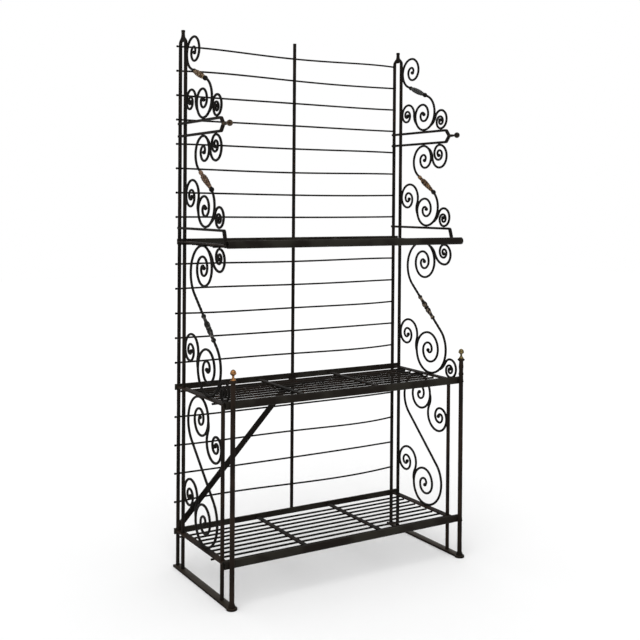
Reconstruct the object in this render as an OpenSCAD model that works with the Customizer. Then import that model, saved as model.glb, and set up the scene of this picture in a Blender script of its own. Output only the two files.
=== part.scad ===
// Wrought-iron shelf rack: two scrolled end frames, three slatted shelves and a wired back.
// X runs along the width, Y from front to back, Z up. The origin is on the floor, under the middle.

/* [Frame] */
// Distance between the middle planes of the two end frames
frame_w = 1000; // [800:10:1200]
// Distance from the thick front posts to the outer rear posts
post_span = 463; // [455:1:520]
// Distance between the outer and the inner rear posts
rear_post_gap = 48; // [40:1:56]
// Distance between the thick and the thin front posts
front_post_gap = 77; // [70:1:90]
// Diameter of the rear posts
rear_post_d = 14; // [10:0.5:16]
// Diameter of the thick front posts
thick_post_d = 17.5; // [14:0.5:20]
// Diameter of the thin front posts
thin_post_d = 14.5; // [10:0.5:16]

/* [Heights] */
// Height of the lower shelf above the floor
lower_shelf_z = 146; // [120:1:200]
// Height from the lower shelf to the worktop
lower_bay = 549; // [480:1:640]
// Height from the worktop to the top shelf
middle_bay = 552; // [500:1:640]
// Height from the top shelf to the middle of the fork brackets
fork_rise = 420; // [400:1:480]
// Height from the middle of the fork brackets to the tops of the rear posts
crown_rise = 326; // [310:1:380]
// Height of the cap above the rear posts
cap_h = 50; // [40:1:60]
// Height of the arm above the top shelf
arm_rise = 48; // [36:1:60]

/* [Feet] */
// Width of the foot bars
foot_w = 30; // [24:1:40]
// Thickness of the foot bars
foot_t = 8; // [5:0.5:12]
// Radius of the round pad at the front of each foot bar
foot_pad_r = 19; // [17:1:24]
// Length of the foot bar behind the outer rear post
foot_tail = 12; // [8:1:40]
// Height of the ferrules round the thick front posts
ferrule_h = 13; // [8:1:24]
// Diameter of the ferrules
ferrule_d = 26; // [25:1:30]

/* [Shelves] */
// Diameter of the front rail tubes
rail_d = 28; // [22:1:32]
// Wall of the front rail tubes
rail_wall = 2; // [1.5:0.25:3]
// How far the worktop's and the lower shelf's rails pass the end frames
rail_overhang = 20; // [14:1:40]
// How far the top shelf's rails pass the end frames
top_rail_overhang = 14; // [14:1:40]
// Height of the rear rails
rear_rail_h = 22; // [18:1:28]
// Thickness of the rear rails
rear_rail_t = 8; // [6:0.5:10]
// Width of the side bars
side_bar_w = 26; // [22:1:32]
// Width of the cross bars
cross_bar_w = 18; // [12:1:24]
// Thickness of the side bars and the cross bars
flat_t = 6; // [5:0.5:8]
// Number of cross bars under each shelf
cross_bars = 2; // [2:2:4]
// Diameter of the shelf rods
rod_d = 7.5; // [4:0.5:8]
// Number of rods in each shelf
rods = 9; // [7:1:11]
// Distance from the front rail to the first rod, between their middles
front_rod_gap = 66; // [50:1:70]
// Distance from the last rod to the rear rail, between their middles
rear_rod_gap = 52; // [50:1:66]
// Place of the front tie rod, counted from the front
front_tie = 2; // [2:1:3]
// How far the tie rods show outside the side bars
tie_overhang = 6; // [3:0.5:6]

/* [Back] */
// Diameter of the back wires
wire_d = 7; // [3:0.5:7]
// Wires in the lower bay
lower_wires = 4; // [2:1:6]
// Wires in the middle bay
middle_wires = 5; // [2:1:7]
// Wires above the top shelf
upper_wires = 8; // [4:1:10]
// Height of the lower bay's first wire above the lower shelf
low_first_wire = 104; // [60:1:120]
// Depth of the lower bay's last wire below the worktop
low_last_wire = 120; // [60:1:140]
// Height of the middle bay's first wire above the worktop
mid_first_wire = 87; // [60:1:120]
// Depth of the middle bay's last wire below the top shelf
mid_last_wire = 89; // [60:1:120]
// Height of the first wire above the top shelf
top_first_wire = 90; // [60:1:120]
// Depth of the top wire below the tops of the rear posts
top_wire_drop = 9; // [8:1:30]
// Diameter of the peened heads on the wires' left ends
wire_head_d = 9; // [7.5:0.5:11]
// Distance from the left outer rear post to the middle of a wire head
wire_head_out = 6; // [5:0.5:9]
// Diameter of the upright bar in the middle of the back
centre_bar_d = 13.5; // [10:0.5:16]
// Width of the diagonal brace
brace_w = 24; // [18:1:30]
// Thickness of the diagonal brace
brace_t = 5; // [4:0.5:6]

/* [Brackets and arms] */
// Width of the fork brackets and the arms
bracket_w = 12; // [10:1:17]
// Thickness of the fork brackets and the arms
bracket_t = 9; // [7:0.5:11]
// Distance between the middles of the two bars of a fork bracket
fork_gap = 47.5; // [40:0.5:60]
// Reach of the fork bars in front of the inner rear posts
fork_reach = 304; // [290:1:325]
// Length of the point where the fork bars meet
fork_point = 20; // [14:1:30]
// Reach of the arms in front of the inner rear posts
arm_reach = 334; // [320:1:346]
// How far an arm's front end runs forward as it comes down
arm_lean = 16; // [0:1:20]
// Diameter of the balls on the fork brackets
fork_ball_d = 23; // [18:1:28]

/* [Scroll bars] */
// Diameter of the scroll bars
scroll_d = 9.5; // [7:0.5:10]
// Diameter of the ball that ends each scroll
snub_d = 15; // [12:0.5:15.5]
// Radius of the crown scroll's upper turn
crown_top_r = 60; // [58:1:62]
// Radius of the crown scroll's lower turn
crown_low_r = 71; // [69:1:73]
// Distance of the crown scroll's lower turn from the inner rear post, to its middle
crown_low_in = 154; // [152:1:158]
// Height of the crown scroll above the tops of the rear posts
crown_top = 17; // [8:1:26]
// Radius of the second scroll's upper turn
second_top_r = 66; // [64:1:69]
// Radius of the second scroll's lower turn
second_low_r = 77; // [75:1:79]
// Distance of the second scroll's upper turn from the inner rear post, to its middle
second_top_in = 154; // [152:1:158]
// Distance of the second scroll's lower turn from the inner rear post, to its middle
second_low_in = 175; // [173:1:179]
// Radius of the third scroll's upper turn
third_top_r = 104; // [101:1:107]
// Radius of the third scroll's lower turn
third_low_r = 104; // [101:1:107]
// Distance of the third scroll's upper turn from the inner rear post, to its middle
third_top_in = 155; // [153:1:159]
// Distance of the third scroll's lower turn from the inner rear post, to its middle
third_low_in = 207; // [205:1:211]
// Radius of the lower scroll's upper turn
lower_top_r = 100; // [97:1:103]
// Radius of the lower scroll's lower turn
lower_low_r = 104; // [101:1:107]
// Distance of the lower scroll's upper turn from the inner rear post, to its middle
lower_top_in = 136; // [134:1:140]
// Distance of the lower scroll's lower turn from the thin front post, to its middle
lower_low_in = 138; // [136:1:142]

/* [Small scrolls] */
// Height of the crown's rear scroll above the middle of the turn that it leaves
crown_rear_rise = 12; // [8:1:16]
// Radius of the crown's front scroll, which stands on the fork bracket
crown_foot_r = 37; // [34:1:39]
// Radius at which the second scroll's hanging one swings out
second_lead_r = 46; // [44:1:48]
// Radius at which it turns up to the fork bracket
second_hung_r = 46; // [44:1:48]
// Height of the second scroll's rear one above the middle of the turn that it leaves
second_rear_rise = 54; // [50:1:58]
// Radius of the second scroll's front one, which stands on the arm
second_foot_r = 36; // [33:1:38]
// Radius at which the third scroll's hanging one swings out
third_lead_r = 64; // [61:1:67]
// Radius at which it turns up to the top shelf
third_hung_r = 40; // [38:1:42]
// Height of the third scroll's rear one above the middle of the turn that it leaves
third_rear_rise = 58; // [54:1:62]
// Radius of the third scroll's front one, which stands on the worktop
third_foot_r = 36; // [33:1:38]
// Radius of the lower scroll's front one, which turns at the thin front post
lower_front_r = 55; // [52:1:58]
// Depth of its first middle below the middle of the turn that it leaves
lower_front_drop = 74; // [71:1:77]
// Height of the lower scroll's rear one above the middle of the turn that it leaves
lower_rear_rise = 76; // [72:1:80]

/* [Collars] */
// Length of the crown scroll's collar
crown_collar = 108; // [90:1:112]
// Length of the second scroll's collar
second_collar = 114; // [90:1:116]
// Length of the third scroll's collar
third_collar = 130; // [100:1:150]
// Thickest diameter of the crown and the second scroll's collars
collar_d = 21; // [17:0.5:23]
// Thickest diameter of the third scroll's collar
third_collar_d = 18; // [17:0.5:20]
// Diameter of the knobs at the ends of the collars
collar_knob_d = 16; // [15:0.5:17]

/* [Front posts] */
// Height of the ring above the worktop
ring_rise = 86; // [80:1:110]
// Diameter of the ring
ring_d = 29; // [24:1:34]
// Diameter of the turned sleeve above the worktop
sleeve_d = 20; // [18:0.5:22]
// Diameter of the acorn finial
acorn_d = 22.5; // [18:0.5:25]
// Height of the acorn finial above the neck
acorn_h = 26; // [22:1:32]

/* [Clearances] */
// Clearance round a post, wire or bolt in its hole
hole_gap = 0.3; // [0.2:0.05:0.4]
// Gap left where a round bar touches another piece
touch_gap = 0.2; // [0.1:0.05:0.3]
// Diameter of the bolts
bolt_d = 5; // [4:0.5:6]
// Diameter of the domed bolt heads
bolt_head_d = 10; // [9:0.5:12]

/* [Hidden] */

iron = [0.13, 0.11, 0.10];
dark_iron = [0.09, 0.08, 0.08];
brown_iron = [0.20, 0.15, 0.12];
bronze = [0.42, 0.32, 0.22];
brass = [0.62, 0.47, 0.22];

// Places along the width and the depth
half_w = frame_w / 2;
foot_len = foot_pad_r + post_span + foot_tail;
front_y = foot_pad_r - foot_len / 2;
rear_y = front_y + post_span;
inner_y = rear_y - rear_post_gap;
thin_y = front_y + front_post_gap;
rail_y = front_y + thick_post_d / 2 + touch_gap + rail_d / 2;
rear_rail_y = rear_y - rear_post_d / 2 - touch_gap - rear_rail_t / 2;
post_face_y = inner_y - rear_post_d / 2;
thin_face_y = thin_y + thin_post_d / 2;
scroll_wall_y = post_face_y - touch_gap - scroll_d / 2;

// Heights
worktop_z = lower_shelf_z + lower_bay;
top_shelf_z = worktop_z + middle_bay;
fork_z = top_shelf_z + fork_rise;
post_top_z = fork_z + crown_rise;
arm_z = top_shelf_z + arm_rise;
rail_rise = flat_t / 4;
rear_rail_drop = flat_t / 2;
rod_drop = flat_t + touch_gap + rod_d / 2;
shelf_heights = [lower_shelf_z, worktop_z, top_shelf_z];

// Heights of the scroll bars' middles where they touch the bars above and below them
seat = touch_gap + scroll_d / 2;
crown_floor = fork_z + fork_gap / 2 + bracket_t / 2 + seat;
second_ceiling = fork_z - fork_gap / 2 - bracket_t / 2 - seat;
second_floor = arm_z + bracket_t / 2 + seat;
third_ceiling = top_shelf_z - flat_t - seat;
third_floor = worktop_z + seat;
lower_ceiling = worktop_z - flat_t - seat;
lower_floor = lower_shelf_z + seat;

// Heights of the back wires, bay by bay
function spread(from, to, count) = [for (i = [0:count - 1]) from + (to - from) * i / (count - 1)];
wire_heights = concat(
  spread(lower_shelf_z + low_first_wire, worktop_z - low_last_wire, lower_wires),
  spread(worktop_z + mid_first_wire, top_shelf_z - mid_last_wire, middle_wires),
  spread(top_shelf_z + top_first_wire, post_top_z - top_wire_drop, upper_wires)
);

// Rows of rods, from the front
rod_rows = spread(rail_y + front_rod_gap, rear_rail_y - rear_rod_gap, rods);
cross_places = [for (i = [1:cross_bars]) -half_w + frame_w * i / (cross_bars + 1)];

// Geometry of the scrolls, in the Y-Z plane of an end frame: angle 0 points back and 90 up

// Each arc of a scroll bar is this much thinner than the one before, and laps this far into it
draw_down = 0.06;
bar_lap = 0.1;

// Unit vector at an angle
function toward(a) = [cos(a), sin(a)];

// How much faster a scroll tightens at first than at its end; 1 is even
tighten = 1.2;

// Quarter turns that tighten from the first radius to the last, after an arc of middle c and
// radius r that ends at angle a. Each is [middle, radius, start angle, sweep].
function quarter_turns(c, r, a, turn, first, last, count, k = 1) =
  k > count ? [] :
  let (
    rk = last + (first - last) * pow(1 - (k - 1) / (count - 1), tighten),
    ck = c + (r - rk) * toward(a)
  )
  concat([[ck, rk, a, 90 * turn]], quarter_turns(ck, rk, a + 90 * turn, turn, first, last, count, k + 1));

// Angle on the upper circle where the straight stem of an S-bar leaves it: the stem is the
// tangent that crosses between the two circles
function stem_angle(cu, ru, cl, rl) =
  let (d = cu - cl) atan2(d[1], d[0]) - acos(-(ru + rl) / norm(d));

// An S-bar: [upper arcs, lower arcs, lower stem end, upper stem end]
function s_bar(cu, ru, upper, cl, rl, lower) =
  let (a = stem_angle(cu, ru, cl, rl))
  [
    concat([[cu, ru, a, 90 - a]], quarter_turns(cu, ru, 90, 1, upper[0], upper[1], upper[2])),
    concat([[cl, rl, a + 180, 90 - a]], quarter_turns(cl, rl, 270, 1, lower[0], lower[1], lower[2])),
    cl + rl * toward(a + 180),
    cu + ru * toward(a)
  ];

// First and last radius and number of the quarter turns inside each outer turn
crown = s_bar(
  [scroll_wall_y - crown_top_r, post_top_z + crown_top - seat - crown_top_r], crown_top_r, [crown_top_r * 0.83, 8, 6],
  [post_face_y - crown_low_in, crown_floor + crown_low_r], crown_low_r, [crown_low_r * 0.81, 8.5, 7]
);
second = s_bar(
  [post_face_y - second_top_in, second_ceiling - second_top_r], second_top_r, [second_top_r * 0.76, 8.5, 6],
  [post_face_y - second_low_in, second_floor + second_low_r], second_low_r, [second_low_r * 0.785, 9.5, 7]
);
third = s_bar(
  [post_face_y - third_top_in, third_ceiling - third_top_r], third_top_r, [third_top_r * 0.75, 9, 9],
  [post_face_y - third_low_in, third_floor + third_low_r], third_low_r, [third_low_r * 0.846, 9, 9]
);
lower = s_bar(
  [post_face_y - lower_top_in, lower_ceiling - lower_top_r], lower_top_r, [lower_top_r * 0.75, 9.5, 8],
  [thin_face_y + lower_low_in, lower_floor + lower_low_r], lower_low_r, [lower_low_r * 0.76, 9.5, 8]
);

// A small scroll leaves the side of a larger arc, whose middle is c and radius r, and each of the
// next four functions gives [middle, radius] of its first arc
branch = scroll_d + touch_gap;

// It stands on a bar whose seat is at height z, with radius s
function on_floor(c, r, z, s) = [[c[0] - sqrt(pow(r + s + branch, 2) - pow(z + s - c[1], 2)), z + s], s];

// It hangs under a seat at height z: it swings out with radius lead and turns up with radius s
function under_ceiling(c, r, z, lead, s) =
  let (h = z - 2 * s + lead)
  [[c[0] - sqrt(pow(r + lead + branch, 2) - pow(h - c[1], 2)), h], lead];

// It fills the room between the arc and a post behind it, with its middle at a rise above c
function to_rear(c, r, wall, rise) =
  let (a = wall - c[0], b = r + branch, s = (a * a + rise * rise - b * b) / (2 * (b + a)))
  [[wall - s, c[1] + rise], s];

// It fills the room between the arc and a post in front of it, with its middle at a drop below c
function to_front(c, r, wall, s, drop) =
  let (m = [wall + s, c[1] - drop])
  [m, norm(c - m) - r - branch];

// Radii of a small scroll's quarter turns, as parts of its outer radius
small_first = 0.72;
small_last = 0.19;
small_count = 6;

// The whole small scroll: the first arc up to angle knee, an arc of radius s up to the angle where
// it touches its bar or post, and quarter turns
function small_scroll(start, c, knee, s, contact) =
  let (
    m = start[0],
    r = start[1],
    turn = sign(contact - knee),
    raw = atan2(c[1] - m[1], c[0] - m[0]),
    a = turn < 0 && knee > 0 && raw < 0 ? raw + 360 : raw,
    m2 = m + (r - s) * toward(knee)
  )
  concat(
    [[m, r, a, knee - a], [m2, s, knee, contact - knee]],
    quarter_turns(m2, s, contact, turn, s * small_first, s * small_last, small_count)
  );

// An outer or inner arc of an S-bar, by its place from the outside
function upper_arc(bar, k) = bar[0][k];
function lower_arc(bar, k) = bar[1][k];

function rear_small(bar, rise) =
  let (g = lower_arc(bar, 2), f = to_rear(g[0], g[1], scroll_wall_y, rise))
  small_scroll(f, g[0], 90, f[1], 0);

function floor_small(bar, z, s) =
  let (g = lower_arc(bar, 0), f = on_floor(g[0], g[1], z, s))
  small_scroll(f, g[0], 90, s, 270);

function ceiling_small(bar, z, lead, s) =
  let (g = upper_arc(bar, 1), f = under_ceiling(g[0], g[1], z, lead, s))
  small_scroll(f, g[0], -90, s, -270);

function front_small(bar, wall, s, drop) =
  let (g = upper_arc(bar, 2), f = to_front(g[0], g[1], wall, s, drop))
  small_scroll(f, g[0], -90, s, -180);

// Room under a shelf where a tie rod passes over a small scroll
rod_room = rod_d + touch_gap;
small_scroll_set = [
  rear_small(crown, crown_rear_rise),
  floor_small(crown, crown_floor, crown_foot_r),
  ceiling_small(second, second_ceiling, second_lead_r, second_hung_r),
  rear_small(second, second_rear_rise),
  floor_small(second, second_floor, second_foot_r),
  ceiling_small(third, third_ceiling - rod_room, third_lead_r, third_hung_r),
  rear_small(third, third_rear_rise),
  floor_small(third, third_floor, third_foot_r),
  front_small(lower, thin_face_y + seat, lower_front_r, lower_front_drop),
  rear_small(lower, lower_rear_rise)
];

// Round bar along an arc in the Y-Z plane. It starts a little early, inside the arc before it.
module bar_arc(arc, d) {
  early = atan(bar_lap / arc[1]);
  from = arc[2] - sign(arc[3]) * early;
  to = arc[2] + arc[3];
  translate([0, arc[0][0], arc[0][1]])
    rotate([90, 0, 90])
      rotate([0, 0, min(from, to)])
        rotate_extrude(angle = abs(to - from), $fn = 64)
          translate([arc[1], 0])
            circle(d = d, $fn = 24);
}

// Round bar along arcs, drawn down a little from one to the next, with a ball at its end
module scroll_end(arcs) {
  for (k = [0:len(arcs) - 1]) bar_arc(arcs[k], scroll_d - draw_down * (k + 1));
  last = arcs[len(arcs) - 1];
  tip = last[0] + last[1] * toward(last[2] + last[3]);
  translate([0, tip[0], tip[1]]) sphere(d = snub_d, $fn = 24);
}

// Places its children on a line from p to q in the Y-Z plane, with Z along the line
module along(p, q) {
  d = q - p;
  translate([0, p[0], p[1]]) rotate([atan2(d[1], d[0]) - 90, 0, 0]) children();
}

module s_scroll(bar) {
  color(iron) union() {
    scroll_end(bar[0]);
    scroll_end(bar[1]);
    along(bar[2], bar[3]) cylinder(d = scroll_d, h = norm(bar[3] - bar[2]), $fn = 24);
  }
}

module small_scrolls() {
  color(iron) for (arcs = small_scroll_set) union() scroll_end(arcs);
}

// Cast collar round the middle of an S-bar's stem: a belly between two knobs
module collar(bar, length, belly_d) {
  stem = norm(bar[3] - bar[2]);
  bore = scroll_d / 2 + touch_gap;
  neck = bore + 1.5;
  h = length / 2;
  r = belly_d / 2;
  knob = collar_knob_d / 2;
  half = [
    [neck, h], [knob - 1, h - 1], [knob, h - knob * 0.6], [knob - 1, h - knob * 1.1], [neck, h - knob * 1.4],
    [neck + 0.7, h * 0.8], [r * 0.82, h * 0.52], [r * 0.95, h * 0.32], [r, h * 0.1]
  ];
  profile = concat(
    [[bore, h]], half, [for (i = [len(half) - 1:-1:0]) [half[i][0], -half[i][1]]], [[bore, -h]]
  );
  along(bar[2], bar[3]) translate([0, 0, stem / 2]) rotate_extrude($fn = 32) polygon(profile);
}

// The third scroll's collar has a row of beads between its knobs
module beaded_collar(bar, length, bead_d) {
  stem = norm(bar[3] - bar[2]);
  bore = scroll_d / 2 + touch_gap;
  neck = bore + 1.5;
  h = length / 2;
  beads = 7;
  pitch = length / beads;
  profile = concat(
    [[bore, h]],
    [for (i = [beads - 1:-1:0])
      let (z = -h + (i + 0.5) * pitch, r = bead_d / 2 - 1.2 * abs(i - (beads - 1) / 2) / beads * 2)
      each [[neck, z + pitch / 2], [r - 0.6, z + pitch * 0.34], [r, z], [r - 0.6, z - pitch * 0.34]]],
    [[neck, -h], [bore, -h]]
  );
  along(bar[2], bar[3]) translate([0, 0, stem / 2]) rotate_extrude($fn = 32) polygon(profile);
}

module collars() {
  color(bronze) {
    collar(crown, crown_collar, collar_d);
    collar(second, second_collar, collar_d);
    beaded_collar(third, third_collar, third_collar_d);
  }
}

// One piece of an end frame: side is -1 on the left and 1 on the right
module on_side(side) {
  translate([side * half_w, 0, 0]) children();
}

module foot_bar() {
  color(brown_iron) union() {
    translate([-foot_w / 2, front_y, 0]) cube([foot_w, post_span + foot_tail, foot_t]);
    translate([0, front_y, 0]) cylinder(r = foot_pad_r, h = foot_t, $fn = 64);
  }
}

module post(y, d, from, to) {
  translate([0, y, from]) cylinder(d = d, h = to - from, $fn = 32);
}

module bore_along_x(y, z, d, length) {
  translate([-length / 2, y, z]) rotate([0, 90, 0]) cylinder(d = d, h = length, $fn = 24);
}

module bore_along_y(x, y, z, d, length) {
  translate([x, y, z]) rotate([-90, 0, 0]) translate([0, 0, -length / 2]) cylinder(d = d, h = length, $fn = 24);
}

rear_rail_heights = [for (z = shelf_heights) z - rear_rail_drop];

module outer_rear_post(braced) {
  color(iron) difference() {
    post(rear_y, rear_post_d, foot_t, post_top_z);
    for (z = wire_heights) bore_along_x(rear_y, z, wire_d + 2 * hole_gap, rear_post_d + 2);
    for (z = rear_rail_heights) bore_along_y(0, rear_y, z, bolt_d + 2 * hole_gap, rear_post_d + 2);
    if (braced) bore_along_y(0, rear_y, brace_low[1], bolt_d + 2 * hole_gap, rear_post_d + 2);
  }
}

module inner_rear_post() {
  color(iron) post(inner_y, rear_post_d, foot_t, post_top_z);
}

// The two rear posts are drawn together into one short square neck
module post_cap() {
  r = rear_post_d / 2;
  mid = (rear_y + inner_y) / 2;
  out = rear_post_gap / 2 + r;
  neck = r * 0.8;
  gap = rear_post_gap / 2 - r;
  side = [
    [out, 0], [out * 0.86, cap_h * 0.14], [out * 0.55, cap_h * 0.3], [neck * 1.3, cap_h * 0.46],
    [neck, cap_h * 0.6], [neck, cap_h * 0.8], [neck * 1.12, cap_h * 0.86], [neck * 1.12, cap_h * 0.97],
    [neck * 0.9, cap_h]
  ];
  arch = [[gap, 0], [gap * 0.6, cap_h * 0.06], [0, cap_h * 0.1]];
  outline = concat(
    side,
    [for (i = [len(side) - 1:-1:0]) [-side[i][0], side[i][1]]],
    [for (p = arch) [-p[0], p[1]]],
    [for (i = [len(arch) - 2:-1:0]) arch[i]]
  );
  color(iron) translate([-r, mid, post_top_z]) rotate([90, 0, 90])
    linear_extrude(height = rear_post_d) polygon(outline);
}

ring_z = worktop_z + ring_rise;
neck_z = ring_z + 17;

// Turned top of a thick front post: a sleeve, a ring and a tapering neck
module thick_front_post() {
  r = thick_post_d / 2;
  base = ring_z - 62;
  profile = [
    [0, foot_t], [r, foot_t], [r, base], [sleeve_d / 2, base + 3], [sleeve_d / 2, base + 7],
    [r - 0.5, base + 13], [r, base + 24], [sleeve_d / 2 - 0.5, base + 34], [r, base + 48],
    [r - 0.8, ring_z - 8], [ring_d / 2 - 3, ring_z - 4], [ring_d / 2, ring_z - 1],
    [ring_d / 2, ring_z + 1], [ring_d / 2 - 3, ring_z + 4], [r + 0.5, ring_z + 5],
    [r - 1, ring_z + 9], [4, neck_z - 2], [4, neck_z], [0, neck_z]
  ];
  color(iron) translate([0, front_y, 0]) difference() {
    rotate_extrude($fn = 32) polygon(profile);
    for (z = [lower_shelf_z, worktop_z])
      bore_along_y(0, 0, z + rail_rise, bolt_d + 2 * hole_gap, thick_post_d + 4);
  }
}

module thin_front_post() {
  color(iron) post(thin_y, thin_post_d, foot_t, worktop_z - flat_t);
}

module post_ferrule() {
  r = thick_post_d / 2 + touch_gap;
  profile = [
    [r, foot_t], [ferrule_d / 2, foot_t], [ferrule_d / 2, foot_t + ferrule_h * 0.4],
    [ferrule_d / 2 - 2, foot_t + ferrule_h * 0.6], [ferrule_d / 2 - 2, foot_t + ferrule_h * 0.85],
    [ferrule_d / 2 - 3, foot_t + ferrule_h], [r, foot_t + ferrule_h]
  ];
  color(brown_iron) translate([0, front_y, 0]) rotate_extrude($fn = 32) polygon(profile);
}

// Brass acorn: a cup with a brim, and a rounded nut above it
module acorn_finial() {
  r = acorn_d / 2;
  profile = concat(
    [[0, 0], [4, 0], [4.5, 2], [3.6, 4], [r * 0.72, acorn_h * 0.28], [r, acorn_h * 0.42], [r, acorn_h * 0.5]],
    [for (a = [0:15:75]) [0.92 * r * cos(a), acorn_h * 0.52 + acorn_h * 0.42 * sin(a)]],
    [[0.8, acorn_h * 0.96], [0, acorn_h]]
  );
  color(brass) translate([0, front_y, neck_z]) rotate_extrude($fn = 32) polygon(profile);
}

// Eyes of a bar at height z, which the two rear posts go through
eye_wall = 2;
module post_eyes(z) {
  for (y = [rear_y, inner_y])
    post(y, rear_post_d + 2 * (hole_gap + eye_wall), z - bracket_t / 2, z + bracket_t / 2);
}

// Fork bracket: two bars on the rear posts, which turn in and meet in a point
module fork_bracket() {
  y0 = rear_y + rear_post_d / 2 + 4;
  y1 = post_face_y - fork_reach;
  h = fork_gap / 2;
  t = bracket_t / 2;
  upper = [
    [y0, h - t], [y0, h + t], [y1, h + t], [y1 - t, h - t * 0.4], [y1 - fork_point, t * 0.8], [y1 - fork_point, 0],
    [y1 - fork_point + t * 1.6, 0], [y1 + t * 0.6, h - t]
  ];
  outline = concat(
    [for (i = [0:5]) upper[i]],
    [for (i = [4:-1:0]) [upper[i][0], -upper[i][1]]],
    [[upper[7][0], -upper[7][1]], upper[6], upper[7]]
  );
  color(iron) difference() {
    union() {
      translate([-bracket_w / 2, 0, fork_z]) rotate([90, 0, 90]) linear_extrude(height = bracket_w) polygon(outline);
      for (s = [-1, 1]) post_eyes(fork_z + s * h);
    }
    for (y = [rear_y, inner_y])
      post(y, rear_post_d + 2 * hole_gap, fork_z - fork_gap, fork_z + fork_gap);
  }
}

fork_tip_y = post_face_y - fork_reach - fork_point;

// Turned ball on a short neck, which points forward from the fork
module fork_ball() {
  neck = 36;
  color(bronze) translate([0, fork_tip_y, fork_z]) rotate([90, 0, 0]) union() {
    rotate_extrude($fn = 32) polygon([
      [0, 0], [7, 0], [7, 3], [4.5, 6], [4, 12], [6, 15], [4.5, 18], [4.5, neck], [0, neck]
    ]);
    translate([0, 0, neck + fork_ball_d / 2 - 2]) sphere(d = fork_ball_d, $fn = 32);
  }
}

// Arm over the top shelf, with a front end that comes down on the side bar
module arm() {
  y0 = rear_y + rear_post_d / 2 + 4;
  y1 = post_face_y - arm_reach;
  t = bracket_t / 2;
  outline = [
    [y0, arm_z - t], [y0, arm_z + t], [y1, arm_z + t], [y1 - arm_lean, top_shelf_z],
    [y1 - arm_lean + bracket_t, top_shelf_z], [y1 + bracket_t * 0.8, arm_z - t]
  ];
  color(iron) difference() {
    union() {
      translate([-bracket_w / 2, 0, 0]) rotate([90, 0, 90]) linear_extrude(height = bracket_w) polygon(outline);
      post_eyes(arm_z);
    }
    for (y = [rear_y, inner_y]) post(y, rear_post_d + 2 * hole_gap, arm_z - bracket_t, arm_z + bracket_t);
  }
}

// Front rail: a round tube with open ends
module front_rail(shelf_z, overhang) {
  length = frame_w + 2 * overhang;
  color(brown_iron) difference() {
    bore_along_x(rail_y, shelf_z + rail_rise, rail_d, length);
    bore_along_x(rail_y, shelf_z + rail_rise, rail_d - 2 * rail_wall, length + 2);
    if (shelf_z < top_shelf_z)
      for (s = [-1, 1])
        bore_along_y(s * half_w, rail_y - rail_d / 2, shelf_z + rail_rise, bolt_d + 2 * hole_gap, rail_d / 2);
  }
}

module rear_rail(shelf_z, overhang) {
  length = frame_w + 2 * overhang;
  z = shelf_z - rear_rail_drop;
  color(brown_iron) difference() {
    translate([-length / 2, rear_rail_y - rear_rail_t / 2, z - rear_rail_h / 2])
      cube([length, rear_rail_t, rear_rail_h]);
    for (x = [-half_w, 0, half_w]) bore_along_y(x, rear_rail_y, z, bolt_d + 2 * hole_gap, rear_rail_t + 2);
  }
}

// A flat bar from the front rail, whose curve it is cut to, back to the rear rail
module shelf_flat(x, width, shelf_z) {
  front = rail_y + rail_d / 2 - flat_t / 2;
  difference() {
    translate([x - width / 2, front, shelf_z - flat_t])
      cube([width, rear_rail_y - rear_rail_t / 2 - front, flat_t]);
    translate([x, 0, 0]) bore_along_x(rail_y, shelf_z + rail_rise, rail_d + 2 * touch_gap, width + 2);
  }
}

module side_bars(shelf_z, front_hole) {
  color(brown_iron) for (s = [-1, 1]) difference() {
    shelf_flat(s * half_w, side_bar_w, shelf_z);
    translate([s * half_w, 0, 0]) post(inner_y, rear_post_d + 2 * hole_gap, shelf_z - flat_t - 1, shelf_z + 1);
    if (front_hole)
      translate([s * half_w, 0, 0]) post(thin_y, thin_post_d + 2 * hole_gap, shelf_z - flat_t - 1, shelf_z + 1);
  }
}

module cross_bar_set(shelf_z) {
  color(iron) for (x = cross_places) shelf_flat(x, cross_bar_w, shelf_z);
}

// Rods lie under the flat bars. Two of them are tie rods, whose ends show outside the side bars.
module shelf_rods(shelf_z) {
  lap = side_bar_w / 2 - 6;
  color(dark_iron) for (i = [0:rods - 1]) {
    tie = i == front_tie - 1 || i == rods - 1;
    end = tie ? half_w + side_bar_w / 2 + tie_overhang : half_w - lap;
    bore_along_x(rod_rows[i], shelf_z - rod_drop, rod_d, 2 * end);
  }
}

// The wires end in peened heads on the left and flush with the post on the right
module back_wires() {
  head_x = -half_w - rear_post_d / 2 - wire_head_out;
  end_x = half_w + rear_post_d / 2;
  color(dark_iron) for (z = wire_heights) union() {
    translate([(head_x + end_x) / 2, 0, 0]) bore_along_x(rear_y, z, wire_d, end_x - head_x);
    translate([head_x, rear_y, z]) sphere(d = wire_head_d, $fn = 24);
  }
}

centre_bar_top = post_top_z + cap_h - 3;
centre_bar_bottom = lower_shelf_z - rear_rail_drop - rear_rail_h / 2;

module centre_bar() {
  color(iron) difference() {
    post(rear_y, centre_bar_d, centre_bar_bottom, centre_bar_top);
    for (z = wire_heights) bore_along_x(rear_y, z, wire_d + 2 * hole_gap, centre_bar_d + 2);
    for (z = rear_rail_heights) bore_along_y(0, rear_y, z, bolt_d + 2 * hole_gap, centre_bar_d + 2);
  }
}

// The brace lies against the fronts of the rear rails. Its lower end is cut to stand on the left
// side bar, in front of the post; its upper end is round and is bolted through to the centre bar.
brace_y = rear_rail_y - rear_rail_t / 2 - brace_t / 2;
brace_low = [-half_w, lower_shelf_z + 19];
brace_high = [0, worktop_z - rear_rail_drop];
spacer_d = 9;

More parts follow.
